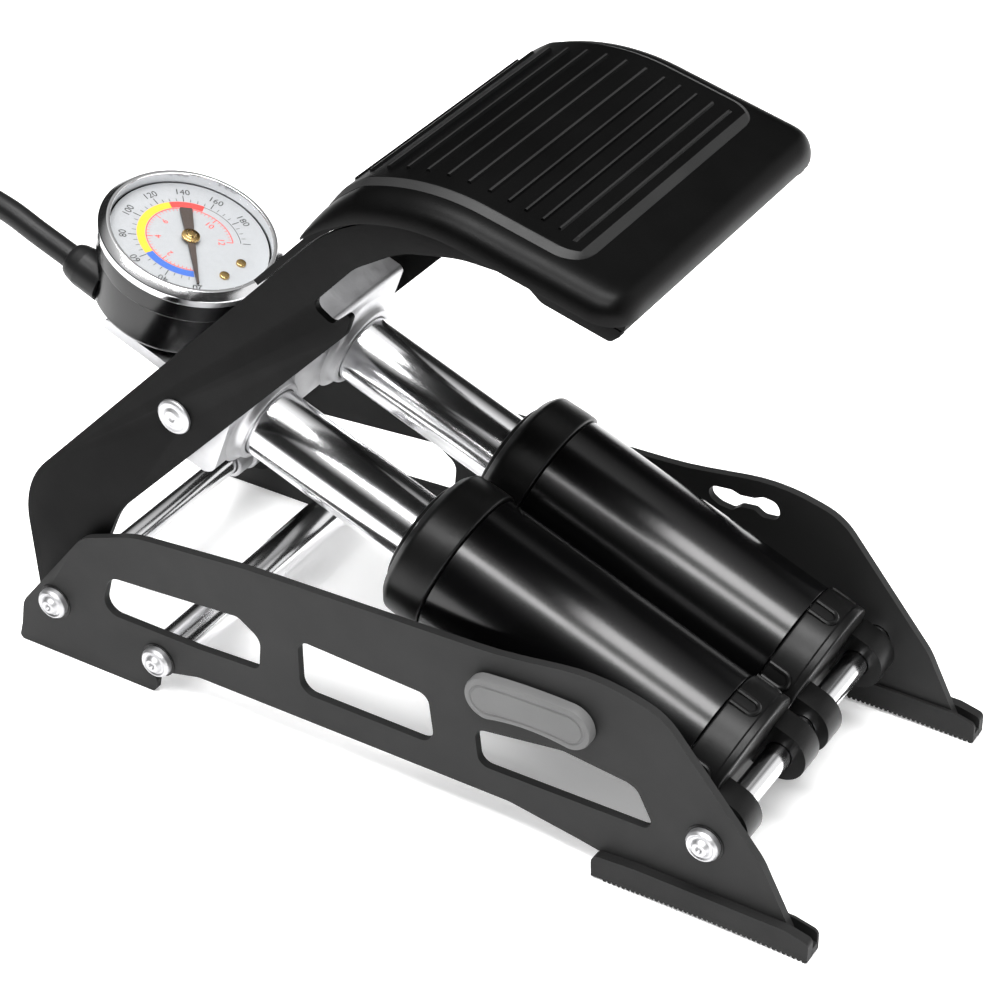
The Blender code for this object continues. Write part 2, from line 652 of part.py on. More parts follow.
LEVER_OUTLINE = (
    (-0.0035, 0.0030, 0.0025),
    (0.0030, 0.0030, 0.0025),
    (0.0030, -0.0030, 0.0025),
    (-0.0020, -0.0040, 0.0015),
    (-0.0030, -0.0230, 0.0010),
    (-0.0060, -0.0230, 0.0010),
    (-0.0055, -0.0020, 0.0020),
)
plate("chuck_lever", [rounded(LEVER_OUTLINE), circle(0.0, 0.0, 0.0015, 16)], 0.0030, 0.0, STEEL,
      lever_frame)
disc("lever_pin", 0.0012, -0.0046, 0.0046, STEEL, chuck_frame, LEVER_PIVOT, AXIS_Y, 16)

for obj in pump.objects:
    if obj.type == "MESH":
        obj.data.shade_smooth()
        obj.data.set_sharp_from_angle(angle=math.radians(35.0))
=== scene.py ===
"""A foot air pump: its fine surfaces, painted, moulded and plated finishes, dial, hose and studio."""
import json
import math

import bmesh
import bpy
from mathutils import Matrix, Vector


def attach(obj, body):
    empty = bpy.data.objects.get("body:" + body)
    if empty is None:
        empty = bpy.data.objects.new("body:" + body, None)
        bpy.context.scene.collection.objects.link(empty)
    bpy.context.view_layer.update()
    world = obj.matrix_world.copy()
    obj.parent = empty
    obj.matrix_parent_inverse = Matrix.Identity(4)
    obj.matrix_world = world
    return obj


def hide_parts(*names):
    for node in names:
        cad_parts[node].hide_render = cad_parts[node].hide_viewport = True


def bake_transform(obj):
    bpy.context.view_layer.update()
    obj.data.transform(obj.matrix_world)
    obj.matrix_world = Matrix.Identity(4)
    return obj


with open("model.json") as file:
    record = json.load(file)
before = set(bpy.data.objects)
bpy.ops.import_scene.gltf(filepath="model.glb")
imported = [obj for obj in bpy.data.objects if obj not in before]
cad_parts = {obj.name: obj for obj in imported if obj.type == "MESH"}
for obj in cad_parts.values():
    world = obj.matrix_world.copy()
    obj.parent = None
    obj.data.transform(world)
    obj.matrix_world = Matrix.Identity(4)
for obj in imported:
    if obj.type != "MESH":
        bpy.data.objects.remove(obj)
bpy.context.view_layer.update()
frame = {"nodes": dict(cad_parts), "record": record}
record = frame["record"]
BODY_OF = {node: body for body, nodes in record["behaviour"]["bodies"].items() for node in nodes}

# Sizes shared with the pump's frame, in metres.
REAR_PIVOT = Vector((-0.1282, 0.0, 0.0218))
FRONT_PIVOT = Vector((0.1113, 0.0, 0.0276))
REAR_TUBE = Vector((-0.0867, 0.0, 0.0143))
HEAD_PIVOT = Vector((-0.0734, 0.0, 0.1090))
PLATE_Y = 0.0555
PLATE_T = 0.0026
FOOT_REAR = 0.0752
FOOT_FRONT = 0.1466
SHAFT_R = 0.0042
SHAFT_BORE = 0.0045
ROD_R = 0.0030
ROD_BORE = 0.0033
PIN_BORE = 0.0039
ROD_END = 0.0568
BOLT_FACE = 0.0571
ARM_Y = 0.0510
ARM_T = 0.0022
ARCH_VERTEX = (0.00294, 0.20504)
ARCH_R = 0.0582
FRONT_SLOPE = math.radians(14.04)
TUBE_TILT = math.radians(21.9)
BARREL_Y = 0.0248
HEAD_FRONT = 0.1875
HEAD_BACK = 0.2106
HEAD_HALF = 0.0440
HEAD_BORE = 0.00742
GAUGE_W = 0.0228
GAUGE_S = 0.2406
PORT_Y = -0.0166
PORT_DEPTH = 0.0245
PORT_LENGTH = 0.0285
SIDES = (("near", -1.0), ("far", 1.0))


# ------------ shader maths


class Number:
    """A value socket that takes part in Python arithmetic."""

    def __init__(self, shader, socket):
        self.shader = shader
        self.socket = socket

    def math(self, operation, *values):
        return self.shader.node("ShaderNodeMath", {"operation": operation}, *values).out()

    def __add__(self, other):
        return self.math("ADD", self, other)

    def __radd__(self, other):
        return self.math("ADD", other, self)

    def __sub__(self, other):
        return self.math("SUBTRACT", self, other)

    def __rsub__(self, other):
        return self.math("SUBTRACT", other, self)

    def __mul__(self, other):
        return self.math("MULTIPLY", self, other)

    def __rmul__(self, other):
        return self.math("MULTIPLY", other, self)

    def clamped(self):
        return self.math("MINIMUM", self.math("MAXIMUM", self, 0.0), 1.0)


class Made:
    """A node that was just made, with its outputs at hand."""

    def __init__(self, shader, node):
        self.shader = shader
        self.node = node

    def out(self, name=0):
        return Number(self.shader, self.node.outputs[name])


class Shading:
    """A shader and the nodes that feed it."""

    def __init__(self, owner, shader):
        owner.use_nodes = True
        self.tree = owner.node_tree
        self.shader = self.tree.nodes[shader]

    def feed(self, target, value):
        if isinstance(value, Number):
            self.tree.links.new(value.socket, target)
        elif value is not None:
            target.default_value = value

    def set(self, socket, value):
        self.feed(self.shader.inputs[socket], value)

    def node(self, kind, settings, *values, **named):
        node = self.tree.nodes.new(kind)
        for key, value in settings.items():
            if key == "stops":
                self.set_stops(node.color_ramp, value)
            else:
                setattr(node, key, value)
        for index, value in [*enumerate(values), *named.items()]:
            self.feed(node.inputs[index], value)
        return Made(self, node)

    def place(self, kind="Object"):
        return self.node("ShaderNodeTexCoord", {}).out(kind)

    def set_stops(self, ramp, stops):
        while len(ramp.elements) < len(stops):
            ramp.elements.new(0.5)
        for element, (at, shade) in zip(ramp.elements, stops):
            element.position = at
            element.color = (shade, shade, shade, 1.0)


class Finish(Shading):
    """One material and its Principled shader."""

    def __init__(self, name, colour, roughness, metallic=0.0):
        self.material = bpy.data.materials.new(name)
        super().__init__(self.material, "Principled BSDF")
        self.set("Base Color", (*colour, 1.0))
        self.set("Roughness", roughness)
        self.set("Metallic", metallic)

    def noise(self, scale, detail=3.0, roughness=0.5, at=None):
        return self.node("ShaderNodeTexNoise", {}, Vector=at or self.place(), Scale=scale,
                         Detail=detail, Roughness=roughness).out("Fac")

    def stretched(self, x, y, z):
        return self.node("ShaderNodeVectorMath", {"operation": "MULTIPLY"}, self.place(),
                         (x, y, z)).out()

    def tint(self, mask, low, high):
        """Mix two colours by a mask; the colour sockets of the Mix node start at its seventh."""
        unused = [None] * 5
        mix = self.node("ShaderNodeMix", {"data_type": "RGBA"}, mask, *unused, (*low, 1.0),
                        (*high, 1.0))
        self.set("Base Color", mix.out(2))

    def bump(self, height, depth, strength=1.0):
        made = self.node("ShaderNodeBump", {}, Height=height, Distance=depth, Strength=strength)
        self.set("Normal", made.out("Normal"))


# ------------ finishes


def powder_coat(name, dark, light, roughness, specular=0.14):
    """Sprayed and baked paint: a fine orange peel and a slightly uneven sheen."""
    finish = Finish(name, light, roughness)
    cloud = finish.noise(28.0, 4.0)
    finish.tint((cloud * 1.6 - 0.3).clamped(), dark, light)
    finish.set("Roughness", finish.noise(90.0, 3.0) * 0.16 + (roughness - 0.08))
    finish.set("Specular IOR Level", specular)
    peel = finish.noise(1700.0, 2.0) * 0.7 + finish.noise(420.0, 2.0) * 0.3
    finish.bump(peel, 0.00005, 0.55)
    return finish.material


def gloss_paint(name, colour, roughness):
    """Deep black enamel with a clear top coat."""
    finish = Finish(name, colour, roughness)
    finish.set("Specular IOR Level", 0.45)
    finish.set("Roughness", finish.noise(60.0, 3.0) * 0.06 + (roughness - 0.03))
    finish.bump(finish.noise(260.0, 2.0), 0.00003, 0.4)
    return finish.material


def plated(name, colour, roughness, run=(1.0, 1.0, 1.0), depth=0.0):
    """Bright plating with faint polishing lines along one direction."""
    finish = Finish(name, colour, roughness, 1.0)
    lines = finish.noise(900.0, 3.0, 0.6, finish.stretched(*run))
    finish.set("Roughness", lines * 0.08 + (roughness - 0.03) + finish.noise(40.0) * 0.03)
    if depth > 0.0:
        finish.bump(lines, depth, 0.5)
    return finish.material


def cast_metal(name, dark, light, roughness):
    """Die-cast alloy: a fine pitted skin, brighter where it was tumbled."""
    finish = Finish(name, light, roughness, 1.0)
    cloud = finish.noise(55.0, 5.0, 0.6)
    finish.tint((cloud * 1.8 - 0.4).clamped(), dark, light)
    finish.set("Roughness", finish.noise(160.0, 4.0) * 0.2 + (roughness - 0.08))
    finish.bump(finish.noise(900.0, 4.0, 0.65), 0.00009, 0.5)
    return finish.material


def moulded(name, dark, light, roughness, grain, specular=0.22):
    """Moulded plastic or rubber with a spark-eroded grain."""
    finish = Finish(name, light, roughness)
    cloud = finish.noise(34.0, 4.0)
    finish.tint((cloud * 1.5 - 0.25).clamped(), dark, light)
    finish.set("Roughness", finish.noise(120.0, 3.0) * 0.14 + (roughness - 0.07))
    finish.set("Specular IOR Level", specular)
    finish.bump(finish.noise(1400.0, 3.0, 0.6), grain, 0.6)
    return finish.material


def printed(name, colour, roughness=0.5):
    """Ink on the dial: an even film with a little tooth."""
    finish = Finish(name, colour, roughness)
    dark = tuple(0.88 * part for part in colour)
    finish.tint(finish.noise(700.0, 3.0), dark, colour)
    return finish.material


def clear_cover():
    finish = Finish("clear_cover", (0.0, 0.0, 0.0), 0.04)
    finish.set("Alpha", 0.04)
    finish.material.surface_render_method = "BLENDED"
    finish.set("Roughness", finish.noise(50.0) * 0.02 + 0.03)
    return finish.material


def grey(level):
    return (level, level, level)


PLATE_GREY = powder_coat("plate_powder_coat", grey(0.015), grey(0.020), 0.54)
ARM_BLACK = powder_coat("arm_powder_coat", grey(0.0010), grey(0.0020), 0.50, 0.07)
BARREL_BLACK = gloss_paint("barrel_enamel", (0.0010, 0.0010, 0.0011), 0.21)
CAP_BLACK = moulded("cap_nylon", grey(0.0022), grey(0.0040), 0.36, 0.00003)
COVER_BLACK = moulded("pedal_cover_plastic", grey(0.0008), grey(0.0016), 0.36, 0.00003, 0.10)
PAD_BLACK = moulded("pedal_pad_rubber", grey(0.0008), grey(0.0018), 0.44, 0.00004, 0.06)
# Lighter grey for the pad's sloping front and side faces: a painted highlight where the bevel catches
# the light.
PAD_EDGE_HIGHLIGHT = moulded("pedal_pad_edge_highlight", grey(0.009), grey(0.016), 0.46, 0.00004)
# Lighter grey for the rib crests: a painted highlight along the lit edges of the ribs.
RIB_HIGHLIGHT = moulded("pedal_rib_highlight", grey(0.0100), grey(0.0160), 0.46, 0.00004, 0.09)
FOOT_RUBBER = moulded("foot_rubber", grey(0.005), grey(0.010), 0.62, 0.00008)
HOSE_RUBBER = moulded("hose_rubber", (0.0040, 0.0040, 0.0042), (0.0080, 0.0080, 0.0082), 0.40,
                      0.00004)
BADGE_GREY = moulded("badge_plastic", grey(0.102), grey(0.126), 0.52, 0.00006)
CHROME = plated("bright_chrome", (0.90, 0.90, 0.91), 0.13, (1.0, 0.06, 1.0))
STEEL = plated("zinc_steel", (0.54, 0.54, 0.55), 0.46, depth=0.00003)
CAST = cast_metal("cast_alloy", (0.40, 0.40, 0.41), (0.54, 0.54, 0.55), 0.40)
BRASS = plated("pointer_brass", (0.70, 0.48, 0.20), 0.22)
GAUGE_BLACK = gloss_paint("gauge_enamel", (0.0020, 0.0020, 0.0022), 0.22)
DIAL_WHITE = printed("dial_enamel", (0.33, 0.34, 0.35), 0.42)
POINTER_GREY = printed("pointer_paint", (0.055, 0.042, 0.036), 0.4)
INK_BLACK = printed("ink_black", grey(0.015))
INK_RED = printed("ink_red", (0.62, 0.045, 0.040))
INK_BLUE = printed("ink_blue", (0.035, 0.11, 0.42))
INK_YELLOW = printed("ink_yellow", (0.80, 0.42, 0.02))
CLEAR = clear_cover()


# ------------ outlines


def rounded(corners, step=math.radians(5.0), closed=True):
    """Turn (x, y, radius) corners into an outline whose corners are arcs."""
    points = []
    count = len(corners)
    for index, (x, y, radius) in enumerate(corners):
        here = Vector((x, y))
        if radius <= 0.0 or not closed and index in (0, count - 1):
            points.append(here)
            continue
        before = (Vector(corners[index - 1][:2]) - here).normalized()
        after = (Vector(corners[(index + 1) % count][:2]) - here).normalized()
        opening = before.angle(after)
        turn = math.pi - opening
        if turn < 0.02:
            points.append(here)
            continue
        centre = here + (before + after).normalized() * radius / math.sin(opening / 2.0)
        first = here + before * radius / math.tan(opening / 2.0) - centre
        side = 1.0 if first.y * before.x - first.x * before.y > 0.0 else -1.0
        parts = max(2, math.ceil(turn / step))
        for part in range(parts + 1):
            spin = Matrix.Rotation(side * turn * part / parts, 2)
            points.append(centre + spin @ first)
    return points


def circle(x, y, radius, count=64):
    return [Vector((x + radius * math.cos(math.tau * i / count),
                    y + radius * math.sin(math.tau * i / count))) for i in range(count)]


def stadium(x0, y0, x1, y1, radius, count=32, along=16):
    """Two half rounds joined by straights that have points along them."""
    heading = math.atan2(y1 - y0, x1 - x0)
    points = []
    for x, y, start in ((x1, y1, heading - math.pi / 2.0), (x0, y0, heading + math.pi / 2.0)):
        for i in range(count + 1):
            angle = start + math.pi * i / count
            points.append(Vector((x + radius * math.cos(angle), y + radius * math.sin(angle))))
        across = Vector((-radius * math.cos(start), -radius * math.sin(start)))
        opposite = Vector((x0 + x1 - x, y0 + y1 - y))
        for i in range(1, along):
            points.append(Vector((x, y)).lerp(opposite, i / along) + across)
    return points


def turn_about(axis, degrees):
    return Matrix.Rotation(math.radians(degrees), 4, axis)


def at_y(spot, y, turn):
    return Matrix.Translation((spot.x, y, spot.z)) @ turn


def standing(y):
    """Where a flat outline in X and Z stands, y across the pump."""
    return Matrix.Translation((0.0, y, 0.0)) @ UPRIGHT


def outwards(sign):
    """Turn local Z to point away from the pump's middle."""
    return turn_about("X", -90.0 * sign)


UPRIGHT = turn_about("X", 90.0)
TUBE_FRAME = Matrix.Translation(FRONT_PIVOT) @ turn_about("Y", math.degrees(TUBE_TILT) - 90.0)
GAUGE_AXES = Matrix(((0.0, 0.0, 1.0, GAUGE_W), (1.0, 0.0, 0.0, 0.0), (0.0, 1.0, 0.0, GAUGE_S),
                     (0.0, 0.0, 0.0, 1.0)))
GAUGE_FRAME = TUBE_FRAME @ GAUGE_AXES


# ------------ piece makers


def piece(obj, material, *nodes, body=None, smooth=35.0):
    """Give a finished object its material, its ride and the nodes that it stands for."""
    if material is not None:
        obj.data.materials.clear()
        obj.data.materials.append(material)
    if obj.type == "MESH":
        obj.data.shade_smooth()
        obj.data.set_sharp_from_angle(angle=math.radians(smooth))
    if nodes:
        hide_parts(*nodes)
    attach(obj, body or BODY_OF[nodes[0]])
    return obj


def new_object(name, data):
    obj = bpy.data.objects.new(name, data)
    bpy.context.scene.collection.objects.link(obj)
    return obj


def mesh_from(name, data):
    """The plain mesh of a curve or a text."""
    holder = new_object(name, data)
    bpy.context.view_layer.update()
    graph = bpy.context.evaluated_depsgraph_get()
    mesh = bpy.data.meshes.new_from_object(holder.evaluated_get(graph))
    bpy.data.objects.remove(holder, do_unlink=True)
    return mesh


def from_edit(name, edit, matrix=None):
    data = bpy.data.meshes.new(name)
    bmesh.ops.recalc_face_normals(edit, faces=edit.faces)
    edit.to_mesh(data)
    edit.free()
    if matrix is not None:
        data.transform(matrix)
    return new_object(name, data)


def flat_solid(name, loops, half, matrix, edge=0.0003, segments=2):
    """A flat outline with thickness and softly broken edges, as a mesh."""
    data = bpy.data.curves.new(name, "CURVE")
    data.dimensions = "2D"
    data.fill_mode = "BOTH"
    data.extrude = half
    for loop in loops:
        spline = data.splines.new("POLY")
        spline.points.add(len(loop) - 1)
        for point, spot in zip(spline.points, loop):
            point.co = (spot.x, spot.y, 0.0, 1.0)
        spline.use_cyclic_u = True
    mesh = mesh_from(name + "_outline", data)
    edit = bmesh.new()
    edit.from_mesh(mesh)
    bpy.data.meshes.remove(mesh)
    bmesh.ops.remove_doubles(edit, verts=edit.verts, dist=0.000001)
    rims = [e for e in edit.edges if len(e.link_faces) == 2 and e.calc_face_angle() > 1.0]
    if edge > 0.0:
        bmesh.ops.bevel(edit, geom=rims, offset=edge, segments=segments, affect="EDGES",
                        profile=0.6, clamp_overlap=True)
    return from_edit(name, edit, matrix)


def disc(radius, top, bottom, upper=0.0, lower=None):
    """The corners of a solid round: its radius, its two ends and how their edges are rounded."""
    lower = upper if lower is None else lower
    return [(0.0, top, 0.0), (radius, top, upper), (radius, bottom, lower), (0.0, bottom, 0.0)]


def sleeve(outer, inner, top, bottom, edge, inner_edge=0.0003):
    """The corners of a round with a bore."""
    return [(outer, top, edge), (outer, bottom, edge), (inner, bottom, inner_edge),
            (inner, top, inner_edge)]


def turn_into(edit, corners, steps, ring=False, step=math.radians(15.0)):
    """Turn corners about local Z; one with no radius closes on the axis, and a ring is a sleeve."""
    rings = []
    for radius, height in rounded(corners, step, ring):
        if radius < 1e-7:
            rings.append([edit.verts.new((0.0, 0.0, height))])
            continue
        turns = [math.tau * i / steps for i in range(steps)]
        rings.append([edit.verts.new((radius * math.cos(turn), radius * math.sin(turn), height))
                      for turn in turns])
    pairs = list(zip(rings, rings[1:]))
    if ring:
        pairs.append((rings[-1], rings[0]))
    for upper, lower in pairs:
        for i in range(steps):
            j = (i + 1) % steps
            if len(upper) == 1:
                edit.faces.new((upper[0], lower[i], lower[j]))
            elif len(lower) == 1:
                edit.faces.new((upper[i], lower[0], upper[j]))
            else:
                edit.faces.new((upper[i], lower[i], lower[j], upper[j]))


def turned(name, corners, matrix, steps=96, ring=False, step=math.radians(15.0)):
    edit = bmesh.new()
    turn_into(edit, corners, steps, ring, step)
    return from_edit(name, edit, matrix)


def join_rings(edit, rings):
    for first, second in zip(rings, rings[1:]):
        for i in range(len(first)):
            j = (i + 1) % len(first)
            edit.faces.new((first[i], first[j], second[j], second[i]))


def sweep_into(edit, path, radius, sides, up=Vector((0.0, 0.0, 1.0))):
    """Add a round tube along a path of points; up must not run along its first step."""
    count = len(path)
    rings = []
    side = None
    for index, spot in enumerate(path):
        ahead = path[min(index + 1, count - 1)] - path[max(index - 1, 0)]
        ahead.normalize()
        if side is None:
            side = ahead.cross(up).normalized()
        side = (side - ahead * side.dot(ahead)).normalized()
        other = ahead.cross(side)
        loop = []
        for i in range(sides):
            angle = math.tau * i / sides
            loop.append(edit.verts.new(spot + side * radius * math.cos(angle)
                                       + other * radius * math.sin(angle)))
        rings.append(loop)
    join_rings(edit, rings)
    edit.faces.new(list(reversed(rings[0])))
    edit.faces.new(rings[-1])


# ------------ base

PLATE_OUTLINE = (
    (-0.1466, 0.0000, 0.0016),
    (-0.1444, 0.0070, 0.0030),
    (-0.1426, 0.0165, 0.0100),
    (-0.1135, 0.0522, 0.0150),
    (-0.0920, 0.0604, 0.0400),
    (-0.0480, 0.0645, 0.1200),
    (0.0420, 0.0676, 0.1200),
    (0.0760, 0.0728, 0.0600),
    (0.0970, 0.0670, 0.0200),
    (0.1290, 0.0275, 0.0200),
    (0.1405, 0.0042, 0.0020),
    (0.0960, 0.0042, 0.0200),
    (0.0690, 0.0095, 0.0150),
    (0.0450, 0.0134, 0.0150),
    (-0.0710, 0.0134, 0.0120),
    (-0.0905, 0.0085, 0.0010),
    (-0.0886, 0.0050, 0.0012),
    (-0.0898, 0.0000, 0.0018),
)
REAR_WINDOW = (
    (-0.1040, 0.0406, 0.0060),
    (-0.0528, 0.0446, 0.0040),
    (-0.0446, 0.0388, 0.0050),
    (-0.0460, 0.0264, 0.0030),
    (-0.0700, 0.0252, 0.0200),
    (-0.1085, 0.0254, 0.0050),
)
MIDDLE_WINDOW = (
    (-0.0302, 0.0446, 0.0040),
    (0.0172, 0.0425, 0.0040),
    (0.0190, 0.0240, 0.0050),
    (-0.0306, 0.0242, 0.0050),
)
FRONT_WINDOW = (
    (0.0334, 0.0366, 0.0040),
    (0.0640, 0.0412, 0.0100),
    (0.0884, 0.0384, 0.0060),
    (0.0952, 0.0240, 0.0030),
    (0.0345, 0.0232, 0.0040),
)
KEYHOLE = (
    (0.0506, 0.0600, 0.0030),
    (0.0514, 0.0642, 0.0030),
    (0.0590, 0.0650, 0.0030),
    (0.0620, 0.0640, 0.0020),
    (0.0670, 0.0646, 0.0020),
    (0.0700, 0.0660, 0.0030),
    (0.0756, 0.0656, 0.0036),
    (0.0762, 0.0590, 0.0030),
    (0.0700, 0.0584, 0.0030),
    (0.0670, 0.0602, 0.0020),
    (0.0620, 0.0596, 0.0020),
    (0.0592, 0.0572, 0.0020),
    (0.0546, 0.0578, 0.0030),
)


def make_base_plates():
    for side, sign in SIDES:
        holes = [circle(spot.x, spot.z, radius) for spot, radius in (
            (REAR_PIVOT, SHAFT_BORE), (REAR_TUBE, ROD_BORE), (FRONT_PIVOT, SHAFT_BORE))]
        windows = [rounded(shape) for shape in (REAR_WINDOW, MIDDLE_WINDOW, FRONT_WINDOW)]
        if side == "far":
            windows.append(rounded(KEYHOLE))
        loops = [rounded(PLATE_OUTLINE), *windows, *holes]
        plate = flat_solid("side_plate_" + side, loops, PLATE_T / 2.0, standing(sign * PLATE_Y),
                           0.00035)
        piece(plate, PLATE_GREY, "base_plate_" + side)


def make_feet():
    """Rubber shoes with a ribbed tread under a gently bowed sole."""
    top = [(FOOT_REAR, 0.0086, 0.0030), (0.0900, 0.0096, 0.0200), (0.1390, 0.0094, 0.0060),
           (FOOT_FRONT, 0.0076, 0.0020), (FOOT_FRONT, 0.0006, 0.0003)]
    pitch = 0.0016
    count = 42
    groove = 0.0006
    tread = []
    for i in range(count):
        start = 0.1458 - i * pitch
        lift = 0.0008 * math.sin(math.pi * i / count)
        for share, height in ((0.0, lift), (0.55, lift), (0.60, lift + groove),
                              (0.95, lift + groove)):
            tread.append((start - pitch * share, height, 0.0))
    tread.append((FOOT_REAR, 0.0004, 0.0003))
    for side, sign in SIDES:
        outline = rounded([*top, *tread])
        for part, half, y in (("outer", 0.00155, 0.05845), ("inner", 0.00050, 0.05340)):
            foot = flat_solid("foot_%s_%s" % (part, side), [outline], half, standing(sign * y),
                              0.0002, 1)
            stands_for = ["foot_" + side] if part == "outer" else []
            piece(foot, FOOT_RUBBER, *stands_for, body="base")
        sole = [(FOOT_REAR, 0.0006, 0.0003), (FOOT_REAR, 0.0036, 0.0003),
                (FOOT_FRONT, 0.0036, 0.0003), (FOOT_FRONT, 0.0006, 0.0003)]
        core = flat_solid("foot_core_" + side, [rounded(sole)], 0.0017, standing(sign * PLATE_Y),
                          0.0)
        piece(core, FOOT_RUBBER, body="base")


BADGE_R = 0.0074


def make_badge():
    """A blank pressed badge: a rim, a sunk line and a raised middle, with a waisted lower edge."""
    spine = (0.0402, 0.0530, 0.0682, 0.0538)
    middle = (spine[0] + spine[2]) / 2.0
    levels = ((0.0066, -0.0571), (BADGE_R, -0.0575), (BADGE_R, -0.0600), (0.0071, -0.0607),
              (0.0065, -0.0610), (0.0054, -0.0610), (0.0051, -0.0607), (0.0047, -0.0607),
              (0.0044, -0.06095), (0.0008, -0.06095))
    edit = bmesh.new()
    rings = []
    for radius, y in levels:
        loop = []
        for spot in stadium(*spine, radius):
            away = (spot.x - middle) / 0.0140
            waist = 0.0016 * max(0.0, 1.0 - away * away) * radius / BADGE_R
            lift = waist if spot.y < 0.0534 else 0.3 * waist
            loop.append(edit.verts.new((spot.x, y, spot.y + lift)))
        rings.append(loop)
    join_rings(edit, rings)
    edit.faces.new(rings[0])
    edit.faces.new(rings[-1])
    piece(from_edit("badge_plate", edit), BADGE_GREY, "badge")


def bolt_profile(radius, height):
    """A riveted head: a rolled rim, a groove and a low dome with a centre mark."""
    return [(0.0, height * 0.72, 0.0), (radius * 0.12, height * 0.72, 0.0002),
            (radius * 0.22, height * 0.98, 0.0003), (radius * 0.42, height, 0.0005),
            (radius * 0.58, height * 0.62, 0.0004), (radius * 0.70, height * 0.58, 0.0003),
            (radius * 0.84, height * 0.76, 0.0004), (radius, height * 0.46, 0.0006),
            (radius, 0.0, 0.0), (0.0, 0.0, 0.0)]


def make_base_metal():
    """The heads, painted shadow rings round them, bushes, shims, shafts and cross tube of the base."""
    for side, sign in SIDES:
        turn = outwards(sign)
        for name, spot in (("rear", REAR_PIVOT), ("tube", REAR_TUBE), ("front", FRONT_PIVOT)):
            bolt = turned("bolt_head_%s_%s" % (name, side), bolt_profile(0.0053, 0.0039),
                          at_y(spot, sign * BOLT_FACE, turn), 64)
            piece(bolt, STEEL, "bolt_%s_%s" % (name, side))
            # A thin black ring laid on the plate round each head: a painted shadow where the head meets
            # the plate.
            painted_shadow_ring = turned("bolt_shadow_%s_%s" % (name, side),
                          [(0.0061, 0.0003, 0.0001), (0.0061, 0.0, 0.0), (0.0050, 0.0, 0.0),
                           (0.0050, 0.0003, 0.0)], at_y(spot, sign * 0.05682, turn), 64, True)
            piece(painted_shadow_ring, CAP_BLACK, body="base")
        bush = [(0.0070, 0.0495, 0.0004), (0.0070, 0.0440, 0.0006), (0.0060, 0.0432, 0.0004),
                (0.0060, 0.0360, 0.0006), (SHAFT_BORE, 0.0360, 0.0002),
                (SHAFT_BORE, 0.0495, 0.0002)]
        piece(turned("rear_bush_" + side, bush, at_y(REAR_PIVOT, 0.0, turn), 64, True), STEEL,
              "axle_bush_" + side)
        washer = sleeve(0.0075, SHAFT_BORE, 0.0539, 0.0524, 0.0002, 0.0)
        piece(turned("hinge_shim_" + side, washer, at_y(REAR_PIVOT, 0.0, turn), 64, True), STEEL,
              "hinge_washer_" + side)
    for name, spot, radius, metal in (("rear_axle", REAR_PIVOT, SHAFT_R, CHROME),
                                      ("front_shaft", FRONT_PIVOT, SHAFT_R, CHROME),
                                      ("tie_rod", REAR_TUBE, ROD_R, STEEL)):
        rod = disc(radius, ROD_END, -ROD_END, 0.0004)
        piece(turned(name + "_bar", rod, at_y(spot, 0.0, UPRIGHT), 64), metal, name)
    cross = sleeve(0.0068, 0.0045, 0.0539, -0.0539, 0.0003)
    piece(turned("cross_tube", cross, at_y(REAR_TUBE, 0.0, UPRIGHT), 96, True), CHROME, "rear_tube")


# ------------ pedal arm


def front_height(x):
    return ARCH_VERTEX[1] - math.tan(FRONT_SLOPE) * (x - ARCH_VERTEX[0])


ARM_OUTLINE = (
    (-0.1382, 0.0116, 0.0098),
    (-0.1398, 0.0624, 0.0350),
    (*ARCH_VERTEX, ARCH_R),
    (0.0815, front_height(0.0815), 0.0012),
    (0.0770, 0.1816, 0.0025),
    (0.0560, 0.1872, 0.0060),
    (0.0500, 0.1925, 0.0050),
    (0.0310, 0.1932, 0.0400),
    (0.0120, 0.1896, 0.0300),
    (-0.0040, 0.1800, 0.0250),
    (-0.0196, 0.1639, 0.0026),
    (-0.0129, 0.1594, 0.0022),
    (-0.0049, 0.1664, 0.0010),
    (-0.0084, 0.1571, 0.0040),
    (-0.1004, 0.0646, 0.0300),
    (-0.1165, 0.0300, 0.0200),
    (-0.1182, 0.0116, 0.0098),
)
REAR_ANGLE = math.radians(135.0)
FRONT_ANGLE = math.pi / 2.0 - FRONT_SLOPE
ARCH_LENGTH = ARCH_R * (REAR_ANGLE - FRONT_ANGLE)
ARCH_OPENING = math.pi - (REAR_ANGLE - FRONT_ANGLE)
ARCH_TOWARDS = Vector((math.cos((REAR_ANGLE + FRONT_ANGLE) / 2.0),
                       math.sin((REAR_ANGLE + FRONT_ANGLE) / 2.0)))
ARCH_CENTRE = Vector(ARCH_VERTEX) - ARCH_TOWARDS * ARCH_R / math.sin(ARCH_OPENING / 2.0)


def on_arch(run, offset, y):
    """A point on the pedal: run along the arch from its rear tangent, and offset out from it."""
    angle = REAR_ANGLE - min(max(run, 0.0), ARCH_LENGTH) / ARCH_R
    out = Vector((math.cos(angle), math.sin(angle)))
    spot = ARCH_CENTRE + out * (ARCH_R + offset)
    beyond = run - min(max(run, 0.0), ARCH_LENGTH)
    spot += Vector((out.y, -out.x)) * beyond
    return Vector((spot.x, y, spot.y))


def falloff(distance, reach):
    """A quarter-round edge: 0 at the rim, 1 from reach inwards."""
    if distance >= reach:
        return 1.0
    share = 1.0 - max(distance, 0.0) / reach
    return math.sqrt(max(0.0, 1.0 - share * share))


def corner_inset(distance, radius):
    """How far a rounded corner of that radius pulls the side in, at a distance from the end."""
    if distance >= radius:
        return 0.0
    return radius - math.sqrt(max(0.0, radius * radius - (radius - distance) ** 2))


def spread(low, high, count, ease=0.0):
    """Even steps, gathered towards both ends by ease."""
    values = []
    for i in range(count):
        share = i / (count - 1)
        eased = 0.5 - 0.5 * math.cos(math.pi * share)
        values.append(low + (high - low) * (share * (1.0 - ease) + eased * ease))
    return values


